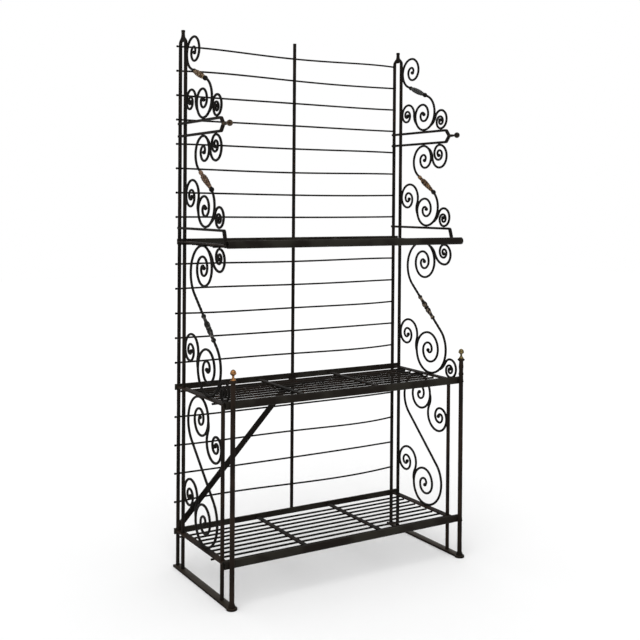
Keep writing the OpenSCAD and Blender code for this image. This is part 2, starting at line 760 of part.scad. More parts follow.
module diagonal_brace() {
  d = brace_high - brace_low;
  slope = atan2(d[1], d[0]);
  h = brace_w / 2;
  left_x = -half_w - rear_post_d / 2 - 1;
  // Where the upper edge meets the cut end, and where the lower edge meets the side bar
  left_z = brace_low[1] + h * cos(slope) + (left_x - brace_low[0] + h * sin(slope)) * tan(slope);
  foot_x = brace_low[0] + h * sin(slope) + (lower_shelf_z - brace_low[1] + h * cos(slope)) / tan(slope);
  outline = concat(
    [[left_x, left_z], [left_x, lower_shelf_z], [foot_x, lower_shelf_z]],
    [for (a = [-90:15:90]) brace_high + h * toward(slope + a)]
  );
  color(iron) difference() {
    translate([0, brace_y + brace_t / 2, 0]) rotate([90, 0, 0]) linear_extrude(height = brace_t) polygon(outline);
    for (p = [brace_low, brace_high]) bore_along_y(p[0], brace_y, p[1], bolt_d + 2 * hole_gap, brace_t + 2);
  }
}

// A domed bolt along Y: the head's flat side is at y and the shank runs from there by length
module bolt(x, y, z, length) {
  back = length < 0 ? -1 : 1;
  translate([x, y, z]) rotate([-90 * back, 0, 0]) union() {
    cylinder(d = bolt_d, h = abs(length), $fn = 24);
    rotate_extrude($fn = 24) polygon([
      [0, 0], [bolt_head_d / 2, 0], [bolt_head_d / 2, -1.2], [bolt_head_d * 0.38, -2.8], [bolt_head_d * 0.2, -3.6], [0, -3.8]
    ]);
  }
}

// The lower bolt goes through the brace, a spacer and the post; the upper one through the brace,
// the rear rail and the centre bar
module brace_bolts() {
  head_y = brace_y - brace_t / 2;
  end_y = rear_y + rear_post_d / 2 + 2;
  spacer_y = brace_y + brace_t / 2;
  color(dark_iron) {
    for (p = [brace_low, brace_high]) bolt(p[0], head_y, p[1], end_y - head_y);
    difference() {
      bore_along_y(brace_low[0], (spacer_y + rear_y) / 2, brace_low[1], spacer_d, rear_y - spacer_y);
      bore_along_y(brace_low[0], rear_y, brace_low[1], bolt_d + 2 * hole_gap, 60);
      translate([brace_low[0], 0, 0]) post(rear_y, rear_post_d + 2 * touch_gap, lower_shelf_z, lower_shelf_z + 60);
    }
  }
}

module front_rail_bolts() {
  head_y = front_y - thick_post_d / 2 - touch_gap;
  color(dark_iron) for (s = [-1, 1]) for (z = [lower_shelf_z, worktop_z])
    bolt(s * half_w, head_y, z + rail_rise, rail_y - rail_d / 2 + rail_wall + 4 - head_y);
}

module rear_rail_bolts() {
  head_y = rear_y + rear_post_d / 2 + touch_gap;
  end_y = rear_rail_y - rear_rail_t / 2;
  color(dark_iron) for (z = rear_rail_heights) for (x = [-half_w, 0, half_w])
    if (x != 0 || z != worktop_z - rear_rail_drop) bolt(x, head_y, z, end_y - head_y);
}

on_side(-1) foot_bar();  // left_foot_bar
on_side(1) foot_bar();  // right_foot_bar
on_side(-1) outer_rear_post(true);  // left_outer_rear_post
on_side(1) outer_rear_post(false);  // right_outer_rear_post
on_side(-1) inner_rear_post();  // left_inner_rear_post
on_side(1) inner_rear_post();  // right_inner_rear_post
on_side(-1) post_cap();  // left_post_cap
on_side(1) post_cap();  // right_post_cap
on_side(-1) thick_front_post();  // left_thick_front_post
on_side(1) thick_front_post();  // right_thick_front_post
on_side(-1) thin_front_post();  // left_thin_front_post
on_side(1) thin_front_post();  // right_thin_front_post
on_side(-1) post_ferrule();  // left_post_ferrule
on_side(1) post_ferrule();  // right_post_ferrule
on_side(-1) acorn_finial();  // left_acorn_finial
on_side(1) acorn_finial();  // right_acorn_finial
on_side(-1) fork_bracket();  // left_fork_bracket
on_side(1) fork_bracket();  // right_fork_bracket
on_side(-1) fork_ball();  // left_fork_ball
on_side(1) fork_ball();  // right_fork_ball
on_side(-1) arm();  // left_arm
on_side(1) arm();  // right_arm
on_side(-1) s_scroll(crown);  // left_crown_scroll
on_side(1) s_scroll(crown);  // right_crown_scroll
on_side(-1) s_scroll(second);  // left_second_scroll
on_side(1) s_scroll(second);  // right_second_scroll
on_side(-1) s_scroll(third);  // left_third_scroll
on_side(1) s_scroll(third);  // right_third_scroll
on_side(-1) s_scroll(lower);  // left_lower_scroll
on_side(1) s_scroll(lower);  // right_lower_scroll
on_side(-1) small_scrolls();  // left_small_scrolls
on_side(1) small_scrolls();  // right_small_scrolls
on_side(-1) collars();  // left_collars
on_side(1) collars();  // right_collars
front_rail(top_shelf_z, top_rail_overhang);  // top_front_rail
front_rail(worktop_z, rail_overhang);  // worktop_front_rail
front_rail(lower_shelf_z, rail_overhang);  // lower_front_rail
rear_rail(top_shelf_z, top_rail_overhang);  // top_rear_rail
rear_rail(worktop_z, rail_overhang);  // worktop_rear_rail
rear_rail(lower_shelf_z, rail_overhang);  // lower_rear_rail
side_bars(top_shelf_z, false);  // top_side_bars
side_bars(worktop_z, true);  // worktop_side_bars
side_bars(lower_shelf_z, true);  // lower_side_bars
cross_bar_set(top_shelf_z);  // top_cross_bars
cross_bar_set(worktop_z);  // worktop_cross_bars
cross_bar_set(lower_shelf_z);  // lower_cross_bars
shelf_rods(top_shelf_z);  // top_rods
shelf_rods(worktop_z);  // worktop_rods
shelf_rods(lower_shelf_z);  // lower_rods
back_wires();
centre_bar();
diagonal_brace();
brace_bolts();
front_rail_bolts();
rear_rail_bolts();
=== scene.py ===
# %% [markdown]
# # A scrolled iron shelf rack
# The real rack is forged from iron bars: two end frames filled with scrolls, three shelves of
# thin rods, and a back of wires. It was painted nearly black a long time ago, and the paint has
# gone brown, greenish and grey where hands and goods have rubbed it.
#
# The measured solids come first and are the frame. Every bar is then made again as a surface,
# so that it can be a little uneven, as forged iron is, and so that its wear has a place.

import bpy
import numpy as np
from mathutils import Matrix, Vector


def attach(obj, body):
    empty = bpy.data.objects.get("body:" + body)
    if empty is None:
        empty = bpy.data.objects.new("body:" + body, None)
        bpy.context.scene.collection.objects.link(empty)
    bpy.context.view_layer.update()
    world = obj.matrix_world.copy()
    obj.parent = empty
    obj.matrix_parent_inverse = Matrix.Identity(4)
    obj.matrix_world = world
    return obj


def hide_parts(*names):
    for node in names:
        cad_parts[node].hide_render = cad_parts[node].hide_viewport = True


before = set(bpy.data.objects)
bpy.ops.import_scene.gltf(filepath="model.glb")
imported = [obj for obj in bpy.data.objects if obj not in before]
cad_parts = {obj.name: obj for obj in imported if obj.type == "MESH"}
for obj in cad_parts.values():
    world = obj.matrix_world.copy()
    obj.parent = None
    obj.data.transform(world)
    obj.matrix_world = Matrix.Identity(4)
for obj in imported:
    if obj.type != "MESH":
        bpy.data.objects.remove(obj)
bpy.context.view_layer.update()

# %% [markdown]
# ## The camera
# The photograph was taken from the left, a little above the worktop, and its upright edges stay
# nearly upright. The lens and the place were worked out from points along the posts, the wires and
# the lower shelf's rails. The small shift stands for a camera that was held level while the picture
# was cut out lower down.

# %% Camera
FOCAL = 983.70 / 640
TURN, TILT, ROLL = 0.54983, 0.011912, -0.007264
EYE = (-2.0005, -3.2352, 1.3918)


def camera_axes(turn, tilt, roll):
    """Columns are the camera's right, up and backward directions, from three angles."""
    ahead = np.array([np.sin(turn) * np.cos(tilt), np.cos(turn) * np.cos(tilt), -np.sin(tilt)])
    right = np.array([np.cos(turn), -np.sin(turn), 0.0])
    down = np.cross(ahead, right)
    leaned_right = right * np.cos(roll) + down * np.sin(roll)
    leaned_down = down * np.cos(roll) - right * np.sin(roll)
    return np.stack([leaned_right, -leaned_down, -ahead], axis=1)


def placed(name, data):
    """A new object with this data, in the scene."""
    made = bpy.data.objects.new(name, data)
    bpy.context.scene.collection.objects.link(made)
    return made


lens = bpy.data.cameras.new("camera")
lens.sensor_width = 36
lens.lens = 36 * FOCAL
lens.shift_y = (215.31 - 320) / 640
camera = placed("camera", lens)
axes = Matrix(camera_axes(TURN, TILT, ROLL).tolist()).to_4x4()
camera.matrix_world = Matrix.Translation(EYE) @ axes
bpy.context.scene.camera = camera
print("lens:", round(lens.lens, 1), "mm")

# %% [markdown]
# ## Shader maths as plain expressions
# A material is a net of nodes, which is slow to read. The class below wraps one output, so that
# `rust * 0.4 + grime` adds the Math nodes by itself. Every other node comes from one method.


# %% Expressions on node outputs
class Mixed:
    """A number or colour inside a material: a sum or a product with it adds a Math node."""

    def __init__(self, paint, output):
        self.paint = paint
        self.output = output

    def maths(self, operation, other):
        return self.paint.node("Math", {"operation": operation}, {0: self, 1: other})

    def __add__(self, other):
        return self.maths("ADD", other)

    def __mul__(self, other):
        return self.maths("MULTIPLY", other)

    def fade(self, low, high):
        """0 below low, 1 above high and a soft S-curve between them."""
        inputs = {"Value": self, "From Min": low, "From Max": high}
        return self.paint.node("MapRange", {"interpolation_type": "SMOOTHSTEP"}, inputs)


# %% A paint: one material and the nodes that it is mixed from
class Paint:
    """A material under its own name, with short ways to its nodes."""

    def __init__(self, name):
        self.material = bpy.data.materials.new(name)
        self.material.use_nodes = True
        self.tree = self.material.node_tree
        self.surface = self.tree.nodes["Principled BSDF"]
        self.place = self.node("TexCoord", out="Object")

    def link(self, socket, value):
        if isinstance(value, Mixed):
            self.tree.links.new(value.output, socket)
        else:
            socket.default_value = value

    def node(self, kind, settings=None, inputs=None, out=0):
        """Any node: its settings are set first, then the values or links of its sockets."""
        made = self.tree.nodes.new("ShaderNode" + kind)
        for name, value in (settings or {}).items():
            setattr(made, name, value)
        for socket, value in (inputs or {}).items():
            self.link(made.inputs[socket], value)
        return Mixed(self, made.outputs[out])

    def noise(self, size, detail=2.0, stretch=(1, 1, 1), shift=0.0):
        """Cloudy numbers from 0 to 1, with patches about size metres wide."""
        scale = [1 / (size * s) for s in stretch]
        at = self.node("Mapping", {}, {"Vector": self.place, "Location": (shift,) * 3, "Scale": scale})
        return self.node("TexNoise", {}, {"Vector": at, "Scale": 1.0, "Detail": detail})

    def painted_on(self, name):
        """A number that was stored on the mesh, such as its wear."""
        return self.node("Attribute", {"attribute_name": name}, out="Fac")

    def over(self, mask, below, above):
        """The colour above laid over the colour below where mask is 1. In Mix, sockets 6 and 7
        are colours."""
        settings = {"data_type": "RGBA", "clamp_factor": True}
        return self.node("Mix", settings, {0: mask, 6: below, 7: above}, out=2)

    def finish(self, colour, roughness, height, metal=0.0, bump=0.3, depth=0.0005, gloss=0.3):
        """Plug the results into the surface. Gloss is the same everywhere, so it is a plain value."""
        bumped = self.node("Bump", {}, {"Strength": bump, "Distance": depth, "Height": height})
        results = {"Base Color": colour, "Roughness": roughness, "Metallic": metal, "Normal": bumped}
        for socket, value in {**results, "Specular IOR Level": gloss}.items():
            self.link(self.surface.inputs[socket], value)
        return self.material


def seen(red, green, blue):
    """A colour as it shows on a screen, 0 to 255, turned into the linear light that a shader needs."""
    c = np.array([red, green, blue]) / 255
    linear = np.where(c < 0.04045, c / 12.92, ((c + 0.055) / 1.055) ** 2.4)
    return (*linear.round(5).tolist(), 1.0)


# %% [markdown]
# ## Old black paint
# All the iron wears the same paint, in different states. Under it lies a brown primer and rust,
# over it greenish grime. Three things vary: large soft patches of tone, small flakes where the
# primer shows, and the rubbed places, which each mesh carries as a number called wear, because
# only the shape knows where a hand or a jar rubs. The bump is the pitted skin of forged iron.


# %% The paint on the iron
def old_paint(name, ground, tone, primer, rubbed, flakes=0.66, rub=0.75, rough=0.6, gloss=0.04):
    """Ground and tone drift into each other, primer shows in flakes, and rubbed shows where wear is high."""
    p = Paint(name)
    patches = p.noise(0.12, 3, shift=3.1).fade(0.38, 0.64)
    colour = p.over(patches, ground, tone)
    chips = p.noise(0.02, 4, shift=7.7).fade(flakes, flakes + 0.08)
    colour = p.over(chips * 0.7, colour, primer)
    wear = p.painted_on("wear") + p.noise(0.035, 4, stretch=(2.5, 2.5, 1)) * 0.55
    bare = wear.fade(rub + 0.1, rub + 0.5)
    colour = p.over(bare, colour, rubbed)
    grain = p.noise(0.005, 3)
    height = grain + chips * -0.8 + p.noise(0.012, 2) * 1.5
    roughness = grain * 0.2 + (rough - 0.1) + bare * -0.12
    return p.finish(colour, roughness, height, metal=bare * 0.2, bump=0.25, depth=0.0004, gloss=gloss)


BLACK = seen(19, 17, 15)
BROWN = seen(29, 24, 20)
GREEN_GREY = seen(38, 36, 31)
PRIMER = seen(56, 38, 28)
STEEL = seen(74, 66, 58)

frame_paint = old_paint("frame_paint", BLACK, BROWN, PRIMER, seen(62, 54, 46))
scroll_paint = old_paint("scroll_paint", BLACK, seen(25, 23, 21), PRIMER, seen(52, 49, 45), flakes=0.7)
post_paint = old_paint("post_paint", seen(25, 20, 17), seen(38, 30, 24), PRIMER, seen(62, 52, 44))
rail_paint = old_paint("rail_paint", seen(25, 21, 18), GREEN_GREY, seen(92, 78, 46), seen(70, 62, 52), 0.72)
flat_paint = old_paint("flat_paint", seen(24, 20, 17), seen(42, 33, 27), PRIMER, seen(66, 55, 46))
foot_paint = old_paint("foot_paint", seen(20, 17, 14), seen(31, 25, 20), PRIMER, seen(52, 45, 38))
rod_paint = old_paint("rod_paint", BLACK, BROWN, PRIMER, STEEL, rub=0.95)
wire_paint = old_paint("wire_paint", seen(14, 13, 12), seen(20, 18, 16), PRIMER, seen(42, 38, 34), gloss=0.02)
print("paints:", len(bpy.data.materials))

# %% [markdown]
# ## Brass and bronze
# The acorns are brass under a thin brown skin, bright only where they are touched. The spindles
# on the scrolls are castings in duller alloys: dark in their hollows, tan or grey on their ribs.
# Each casting's mesh stores how deep a point lies in a hollow, as a number called hollow.


# %% Tarnished castings
def tarnished(name, metal, skin, deep, rough=0.42, bright=0.5, shine=0.85):
    """Metal on the high places, a brown skin in patches, and dark dirt in the hollows. The higher
    bright is, the more bare metal shows."""
    p = Paint(name)
    patches = p.noise(0.012, 4, shift=1.3).fade(bright - 0.12, bright + 0.14)
    colour = p.over(patches, metal, skin)
    hollow = p.painted_on("hollow")
    dirt = (hollow + p.noise(0.005, 3) * 0.4).fade(0.35, 0.95)
    colour = p.over(dirt, colour, deep)
    height = p.noise(0.003, 2) + p.noise(0.006, 2) * 2.0
    roughness = patches * 0.16 + rough + dirt * 0.25
    metal = dirt * -0.8 * shine + shine
    return p.finish(colour, roughness, height, metal, bump=0.3, depth=0.0003, gloss=0.15)


red_brass = tarnished("red_brass", seen(150, 106, 64), seen(72, 52, 34), seen(24, 18, 13), rough=0.36)
olive_brass = tarnished("olive_brass", seen(122, 108, 70), seen(66, 58, 39), seen(24, 21, 15), rough=0.36)
ball_bronze = tarnished("ball_bronze", seen(86, 70, 54), seen(38, 31, 25), seen(18, 15, 12))
olive_bronze = tarnished("olive_bronze", seen(46, 42, 35), seen(26, 23, 20), seen(14, 12, 11))
tan_bronze = tarnished("tan_bronze", seen(158, 136, 108), seen(88, 66, 44), seen(30, 22, 16), rough=0.5)
red_bronze = tarnished("red_bronze", seen(126, 102, 82), seen(86, 66, 52), seen(38, 28, 22), rough=0.5)
brown_bronze = tarnished("brown_bronze", seen(138, 110, 80), seen(46, 35, 27), seen(16, 13, 11), rough=0.5)
grey_bronze = tarnished("grey_bronze", seen(84, 84, 82), seen(47, 47, 46), seen(22, 22, 22), rough=0.5)
dark_bronze = tarnished("dark_bronze", seen(122, 110, 96), seen(26, 23, 21), seen(12, 11, 10), 0.42, 0.42)
black_bronze = tarnished("black_bronze", seen(128, 124, 120), seen(28, 27, 26), seen(12, 12, 12), 0.42, 0.39)
print("castings:", [m.name for m in bpy.data.materials][-10:])

# %% [markdown]
# ## Carrying a section along a line
# Every part of the rack is a bar of some kind: round or flat, straight or curled. So one idea
# makes nearly all of it. A closed section is a ring of points, and the ring is carried along a
# line and joined to the one before it. Sizes below are in millimetres, as in the drawing.

# %% Rings along a line
MM = 0.001


def distances(points):
    """How far along its line each point lies."""
    return np.concatenate([[0], np.cumsum(np.linalg.norm(np.diff(points, axis=0), axis=1))])


def around(sides):
    return np.linspace(0, 2 * np.pi, sides, endpoint=False)


def carried(line, side, a, b, ahead=None):
    """The point (a, b) of a section goes to the line's point, plus a times the side vector, plus b
    times the normal, which is square to the side vector and to the way the line runs."""
    side = np.asarray(side, float)
    if ahead is None:
        ahead = np.gradient(line, axis=0)
    normal = np.cross(side, ahead)
    normal = normal / np.linalg.norm(normal, axis=1, keepdims=True)
    return line[:, None] + a[..., None] * side + b[..., None] * normal[:, None]


def skin_of(rings):
    """Join each ring to the next with four-sided faces, and close the first and the last ring."""
    n, m = rings.shape[:2]
    i, j = np.meshgrid(np.arange(n - 1), np.arange(m), indexing="ij")
    k = (j + 1) % m
    quads = np.stack([i * m + j, (i + 1) * m + j, (i + 1) * m + k, i * m + k], axis=-1).reshape(-1, 4)
    return [*quads.tolist(), list(range(m)), list(range(n * m - 1, (n - 1) * m - 1, -1))]


# %% Hammer marks and rubbed places
def dents(points, size, seed=1):
    """Unevenness from -1 to 1: the mean of nine sine waves of random direction, about size mm long."""
    rng = np.random.default_rng(seed)
    ways = rng.normal(size=(9, 3))
    lengths = size * rng.uniform(0.6, 1.8, (9, 1)) * np.linalg.norm(ways, axis=1, keepdims=True)
    phases = rng.uniform(0, 2 * np.pi, 9)
    return np.sin(points @ (2 * np.pi * ways / lengths).T + phases).mean(-1) * 1.8


def shaped(rings, line, depth, size, rub, edge=0.0, seed=1):
    """Push each ring's points in or out by the dents, and work out their wear: rub times how much
    they face up, plus the edge's own. Returns (points, faces, {"wear": ...})."""
    outward = rings - line[:, None]
    length = np.linalg.norm(outward, axis=-1, keepdims=True)
    outward = outward / np.maximum(length, 1e-6)
    rings = rings + outward * (depth * dents(rings, size, seed))[..., None]
    wear = rub * np.clip(outward[..., 2], 0, 1) + edge + 0 * outward[..., 0]
    return rings.reshape(-1, 3), skin_of(rings), {"wear": wear.ravel()}


# %% Places along a bar
def stations(length, step, nose):
    """Distances along a bar, close together over its rounded nose at each end, and how far the
    surface is drawn in there: nose times (1 - the height of a quarter circle)."""
    turn = np.linspace(0.15, 1, 4) * np.pi / 2
    lead = nose * (1 - np.cos(turn))
    middle = np.linspace(nose, length - nose, max(2, round(length / step)))[1:-1]
    along = np.concatenate([lead, middle, length - lead[::-1]])
    inset = nose * (1 - np.concatenate([np.sin(turn), np.ones(len(middle)), np.sin(turn[::-1])]))
    return along, inset


def straight(start, end, step=6.0, nose=0.8):
    """Points from start to end, and how far the surface is drawn in at each."""
    start, end = np.asarray(start, float), np.asarray(end, float)
    length = np.linalg.norm(end - start)
    along, inset = stations(length, step, nose)
    return start + (end - start) * (along / length)[:, None], inset


# %% Round and flat bars
def round_bar(line, side, radius, sides=16, depth=0.12, size=22, rub=0.3, seed=1):
    """A circle carried along the line: a is the radius times the cosine, b times the sine."""
    t = around(sides)
    r = np.broadcast_to(radius, len(line))[:, None]
    rings = carried(line, side, r * np.cos(t), r * np.sin(t))
    return shaped(rings, line, depth, size, rub, seed=seed)


def plate_section(width, thickness, corner):
    """A rectangle with round corners, its points, and an edge value that is 1 on the corners."""
    t = np.linspace(0, np.pi / 2, 4)
    quarter_a = width / 2 - corner + corner * np.cos(t)
    quarter_b = thickness / 2 - corner + corner * np.sin(t)
    top = np.linspace(width / 2 - corner * 2, -width / 2 + corner * 2, 6)
    one = np.stack([quarter_a, quarter_b], 1)
    two = np.stack([-quarter_a[::-1], quarter_b[::-1]], 1)
    upper = np.vstack([one, np.stack([top, np.full(6, thickness / 2)], 1), two])
    edge = np.concatenate([[0.3, 1, 1, 0.3], np.zeros(6), [0.3, 1, 1, 0.3]])
    return np.vstack([upper, -upper]), np.concatenate([edge, edge])


def flat_bar(line, side, width, thickness, inset=0.0, corner=1.0, rub=0.3, depth=0.15, seed=1):
    """A round-cornered rectangle carried along the line, drawn in by inset at its ends."""
    section, edge = plate_section(width, thickness, corner)
    inset = np.broadcast_to(inset, len(line))[:, None]
    a = section[:, 0] * (1 - 2 * inset / width)
    b = section[:, 1] * (1 - 2 * inset / thickness)
    rings = carried(line, side, a, b)
    return shaped(rings, line, depth, 28, rub, edge * 0.55, seed)


# %% Turned shapes
def turned(profile, foot, axis, side=(1, 0, 0), sides=48, relief=None, rub=0.3, soften=0.5):
    """A profile of (radius, height) turned round an axis. It is first redrawn in steps of 0.4 mm
    and softened, as a casting is. Relief, a function of angle and height, is added to the radius."""
    profile = np.asarray(profile, float)
    run = distances(profile)
    s = np.linspace(0, run[-1], max(8, int(run[-1] / 0.4)))
    r, h = (np.interp(s, run, profile[:, k]) for k in (0, 1))
    reach = max(1, round(soften / 0.4 * 2))
    kernel = np.hanning(2 * reach + 3)[1:-1]
    kernel /= kernel.sum()
    r[reach:-reach], h[reach:-reach] = (np.convolve(v, kernel, "valid") for v in (r, h))
    t = around(sides)
    raised = relief(t[None], h[:, None]) if relief else np.zeros((len(h), sides))
    radius = np.maximum(r[:, None] + raised * np.clip(r[:, None] / 3, 0, 1), 0.05)
    axis = np.asarray(axis, float)
    line = np.asarray(foot, float) + h[:, None] * axis
    ahead = np.broadcast_to(axis, line.shape)
    rings = carried(line, side, radius * np.cos(t), radius * np.sin(t), ahead)
    below_mean = np.convolve(r, np.ones(9) / 9, "same") - r
    hollow = np.clip(-raised * 1.2, 0, 1) + np.clip(below_mean * 1.4, 0, 1)[:, None]
    outward = (rings - line[:, None]) / np.maximum(radius, 0.05)[..., None]
    wear = rub * np.clip(outward[..., 2] * 0.5 + 0.3, 0, 1) + 0 * hollow
    numbers = {"wear": wear.ravel(), "hollow": (hollow + 0 * radius).ravel()}
    return rings.reshape(-1, 3), skin_of(rings), numbers


# %% Put shapes into Blender as one piece
NUMBERS = ("wear", "hollow")


def put(name, shapes, paint, slot, *nodes):
    """Join shapes into one mesh that stands for some of the measured solids, and print its volume,
    which is positive when the faces point outwards."""
    points = np.vstack([s[0] for s in shapes]) * MM
    starts = np.cumsum([0] + [len(s[0]) for s in shapes[:-1]])
    faces = [[i + start for i in face] for s, start in zip(shapes, starts.tolist()) for face in s[1]]
    mesh = bpy.data.meshes.new(name)
    mesh.from_pydata(points.tolist(), [], faces)
    for number in NUMBERS:
        values = np.concatenate([s[2].get(number, np.zeros(len(s[0]))) for s in shapes])
        mesh.attributes.new(number, "FLOAT", "POINT").data.foreach_set("value", values.astype(np.float32))
    mesh.polygons.foreach_set("use_smooth", [True] * len(mesh.polygons))
    mesh.materials.append(paint)
    mesh.update()
    piece = placed(name, mesh)
    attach(piece, "root")
    if nodes:
        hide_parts(*nodes)
    mesh.calc_loop_triangles()
    corners = np.zeros(len(mesh.loop_triangles) * 3, int)
    mesh.loop_triangles.foreach_get("vertices", corners)
    a, b, c = points[corners].reshape(-1, 3, 3).transpose(1, 0, 2) * 100
    volume = (np.cross(a, b) * c).sum() / 6
    print(f"{name}: {len(corners) // 3} triangles, {volume:.1f} cm3")
    return piece


# %% [markdown]
# ## The sizes of the frame
# These are the same sizes as in the drawing, so each bar goes where its solid is. The exceptions
# follow the photograph: wires that sag, left castings that sit lower, thicker worktop rods, and
# small scrolls with a thin start.

# %% Places in the frame
HALF_W = 500.0
FRONT_Y, THIN_Y, INNER_Y, REAR_Y = -228.0, -151.0, 187.0, 235.0
RAIL_Y, REAR_RAIL_Y = -205.05, 223.8
POST_FACE_Y, THIN_FACE_Y, WALL_Y = 180.0, -143.75, 175.05
SHELVES = {"lower": 146.0, "worktop": 695.0, "top": 1247.0}
LOWER_Z, WORKTOP_Z, TOP_Z = SHELVES.values()
ARM_Z, FORK_Z, POST_TOP_Z = 1295.0, 1667.0, 1993.0
FLAT_T, BRACKET_W, BRACKET_T, FORK_H = 6.0, 12.0, 9.0, 23.75
PAIR_Y = (INNER_Y + REAR_Y) / 2
FOOT_T = 8
TOUCH_GAP = 0.2
SIDES = {"left": -HALF_W, "right": HALF_W}
ACROSS, BACK, UP = (1, 0, 0), (0, 1, 0), (0, 0, 1)

# %% [markdown]
# ## Feet
# Each end frame stands on one flat bar laid on the floor, forged out to a round pad under the
# front post. A plate with that outline is made from a ring of points that is drawn in a little at
# its top and bottom edges, like a section carried straight up.


# %% Foot bars and ferrules
PAD_R, FOOT_HALF_W = 18.9, 15.0


def foot_bar(x, seed):
    """An outline in the floor's plane, carried up: half a circle at the front and a square end."""
    pad = np.arcsin(FOOT_HALF_W / PAD_R)
    t = np.linspace(-np.pi + pad, np.pi - pad, 41) - np.pi / 2
    front = np.stack([PAD_R * np.cos(t), FRONT_Y + PAD_R * np.sin(t)], 1)
    y = np.linspace(FRONT_Y + 19, 246, 60)
    right = np.stack([np.full(60, FOOT_HALF_W), y], 1)
    end = np.stack([np.linspace(14, -14, 8), np.full(8, 247.0)], 1)
    left = np.stack([np.full(60, -FOOT_HALF_W), y[::-1]], 1)
    outline = np.vstack([front, right, end, left])
    outline[:, 0] += x + 0.25 * dents(np.c_[outline, np.zeros(len(outline))], 60, seed)
    middle = np.stack([np.full(len(outline), x), np.clip(outline[:, 1], FRONT_Y, 238)], 1)
    inward = (middle - outline) / FOOT_HALF_W
    levels = [(0.0, 0.9), (0.35, 0.3), (0.9, 0.0), (4.0, 0.0), (7.1, 0.0), (7.65, 0.3), (8.0, 0.9)]
    rings = np.stack([np.c_[outline + inward * d, np.full(len(outline), z)] for z, d in levels[::-1]])
    wear = np.array([0.9, 0.8, 0.4, 0.1, 0.2, 0.3, 0.2])[:, None] * np.ones(len(outline))
    return rings.reshape(-1, 3), skin_of(rings), {"wear": wear.ravel()}


FERRULE = [(8.9, 8), (12.8, 8), (13, 11), (12.4, 13.6), (10.9, 16), (11, 18.5), (10.2, 20.6), (8.9, 21)]
for side, x in SIDES.items():
    put(f"{side}_foot_plate", [foot_bar(x, 3)], foot_paint, "feet", f"{side}_foot_bar")
    ring = turned(FERRULE, (x, FRONT_Y, 0), UP, rub=0.8)
    put(f"{side}_foot_ring", [ring], foot_paint, "feet", f"{side}_post_ferrule")

# %% [markdown]
# ## Posts
# The rear posts are plain round bars, the front ones are thicker and end in a turned top: a
# sleeve, a ring, and a neck under the acorn. Straight bars get a very slight wave along them.

# %% Rear posts and thin front posts
def upright(x, y, bottom, top, radius, seed, sides=24):
    """A round bar from bottom to top, a little uneven, with rounded ends."""
    line, inset = straight((x, y, bottom), (x, y, top), nose=0.6)
    return round_bar(line, ACROSS, radius - inset, sides, depth=0.14, size=45, rub=0.0, seed=seed)


# Name, name in the drawing, y, top, radius, paint and seed.
POSTS = [("outer", "outer_rear", REAR_Y, POST_TOP_Z, 7, frame_paint, 11),
         ("inner", "inner_rear", INNER_Y, POST_TOP_Z, 7, frame_paint, 13),
         ("thin", "thin_front", THIN_Y, WORKTOP_Z - FLAT_T, 7.25, post_paint, 15)]
for n, (side, x) in enumerate(SIDES.items()):
    for name, node, y, top, radius, paint, seed in POSTS:
        post = upright(x, y, FOOT_T, top, radius, seed + n)
        put(f"{side}_{name}_post_bar", [post], paint, "frame_bars", f"{side}_{node}_post")

# %% Thick front posts with their turned tops
POST_TOP = [(0, 716), (8.7, 716), (8.7, 719), (10, 722), (10, 726), (8.2, 732), (8.7, 743), (9.5, 753),
            (8.7, 767), (7.9, 773), (11.5, 777), (14.5, 780), (14.5, 782), (11.5, 785), (9.2, 786)]
SKIRT = [(6, 785.5), (9.2, 786), (9.8, 787.2), (8.4, 789.5), (6, 792.5), (4.4, 796), (4, 798), (0, 798)]
ACORN = [(0, 798), (4, 798), (4.6, 800), (3.7, 802), (8.1, 805.3), (10.9, 808.4), (11.25, 810.4),
         (10.9, 811.6), (10.3, 812.2), (10.2, 814), (9.2, 817.4), (7.2, 820.4), (4.6, 822.4), (2, 823.3),
         (1.1, 824), (0, 824)]


def acorn_relief(t, h):
    """Fine ribs round the cup, below the brim, and a smooth nut above it."""
    cup = np.clip((h - 803) / 2, 0, 1) * np.clip((810.8 - h) / 0.8, 0, 1)
    return -0.5 * cup * (0.5 + 0.5 * np.cos(18 * t + (h - 803) * 0.9))


brasses = {"left": red_brass, "right": olive_brass}
for n, (side, x) in enumerate(SIDES.items()):
    line, inset = straight((x, FRONT_Y, FOOT_T), (x, FRONT_Y, 717), nose=0.6)
    shaft = round_bar(line, ACROSS, 8.75 - inset, 32, depth=0.16, size=40, rub=0.0, seed=21 + n)
    top = turned(POST_TOP, (x, FRONT_Y, 0), UP, rub=0.5)
    put(f"{side}_thick_post_bar", [shaft, top], post_paint, "frame_bars", f"{side}_thick_front_post")
    skirt = turned(SKIRT, (x, FRONT_Y, 0), UP, sides=72)
    acorn = turned(ACORN, (x, FRONT_Y, 0), UP, sides=72, relief=acorn_relief)
    put(f"{side}_brass_acorn", [skirt, acorn], brasses[side], "brass_finials", f"{side}_acorn_finial")

# %% [markdown]
# ## Caps over the rear posts
# At the top of each frame the two rear posts are bent together and welded into one short neck.
# So the cap is made as it was forged: two bars that lean together, and a tapering neck.


# %% Post caps
def leaning_bar(x, way):
    """From a post's top the bar leans in over the gap and runs up beside its partner."""
    t = np.linspace(0, 1, 24)
    ease = t * t * (3 - 2 * t)
    y = PAIR_Y + way * ((REAR_Y - PAIR_Y) * (1 - ease) + 2.4 * ease)
    z = POST_TOP_Z + 1 + 29 * t
    line = np.stack([np.full(24, x), y, z], 1)
    return round_bar(line, ACROSS, 6.95 - 1.6 * ease, 20, depth=0.2, size=18, rub=0.1, seed=5)


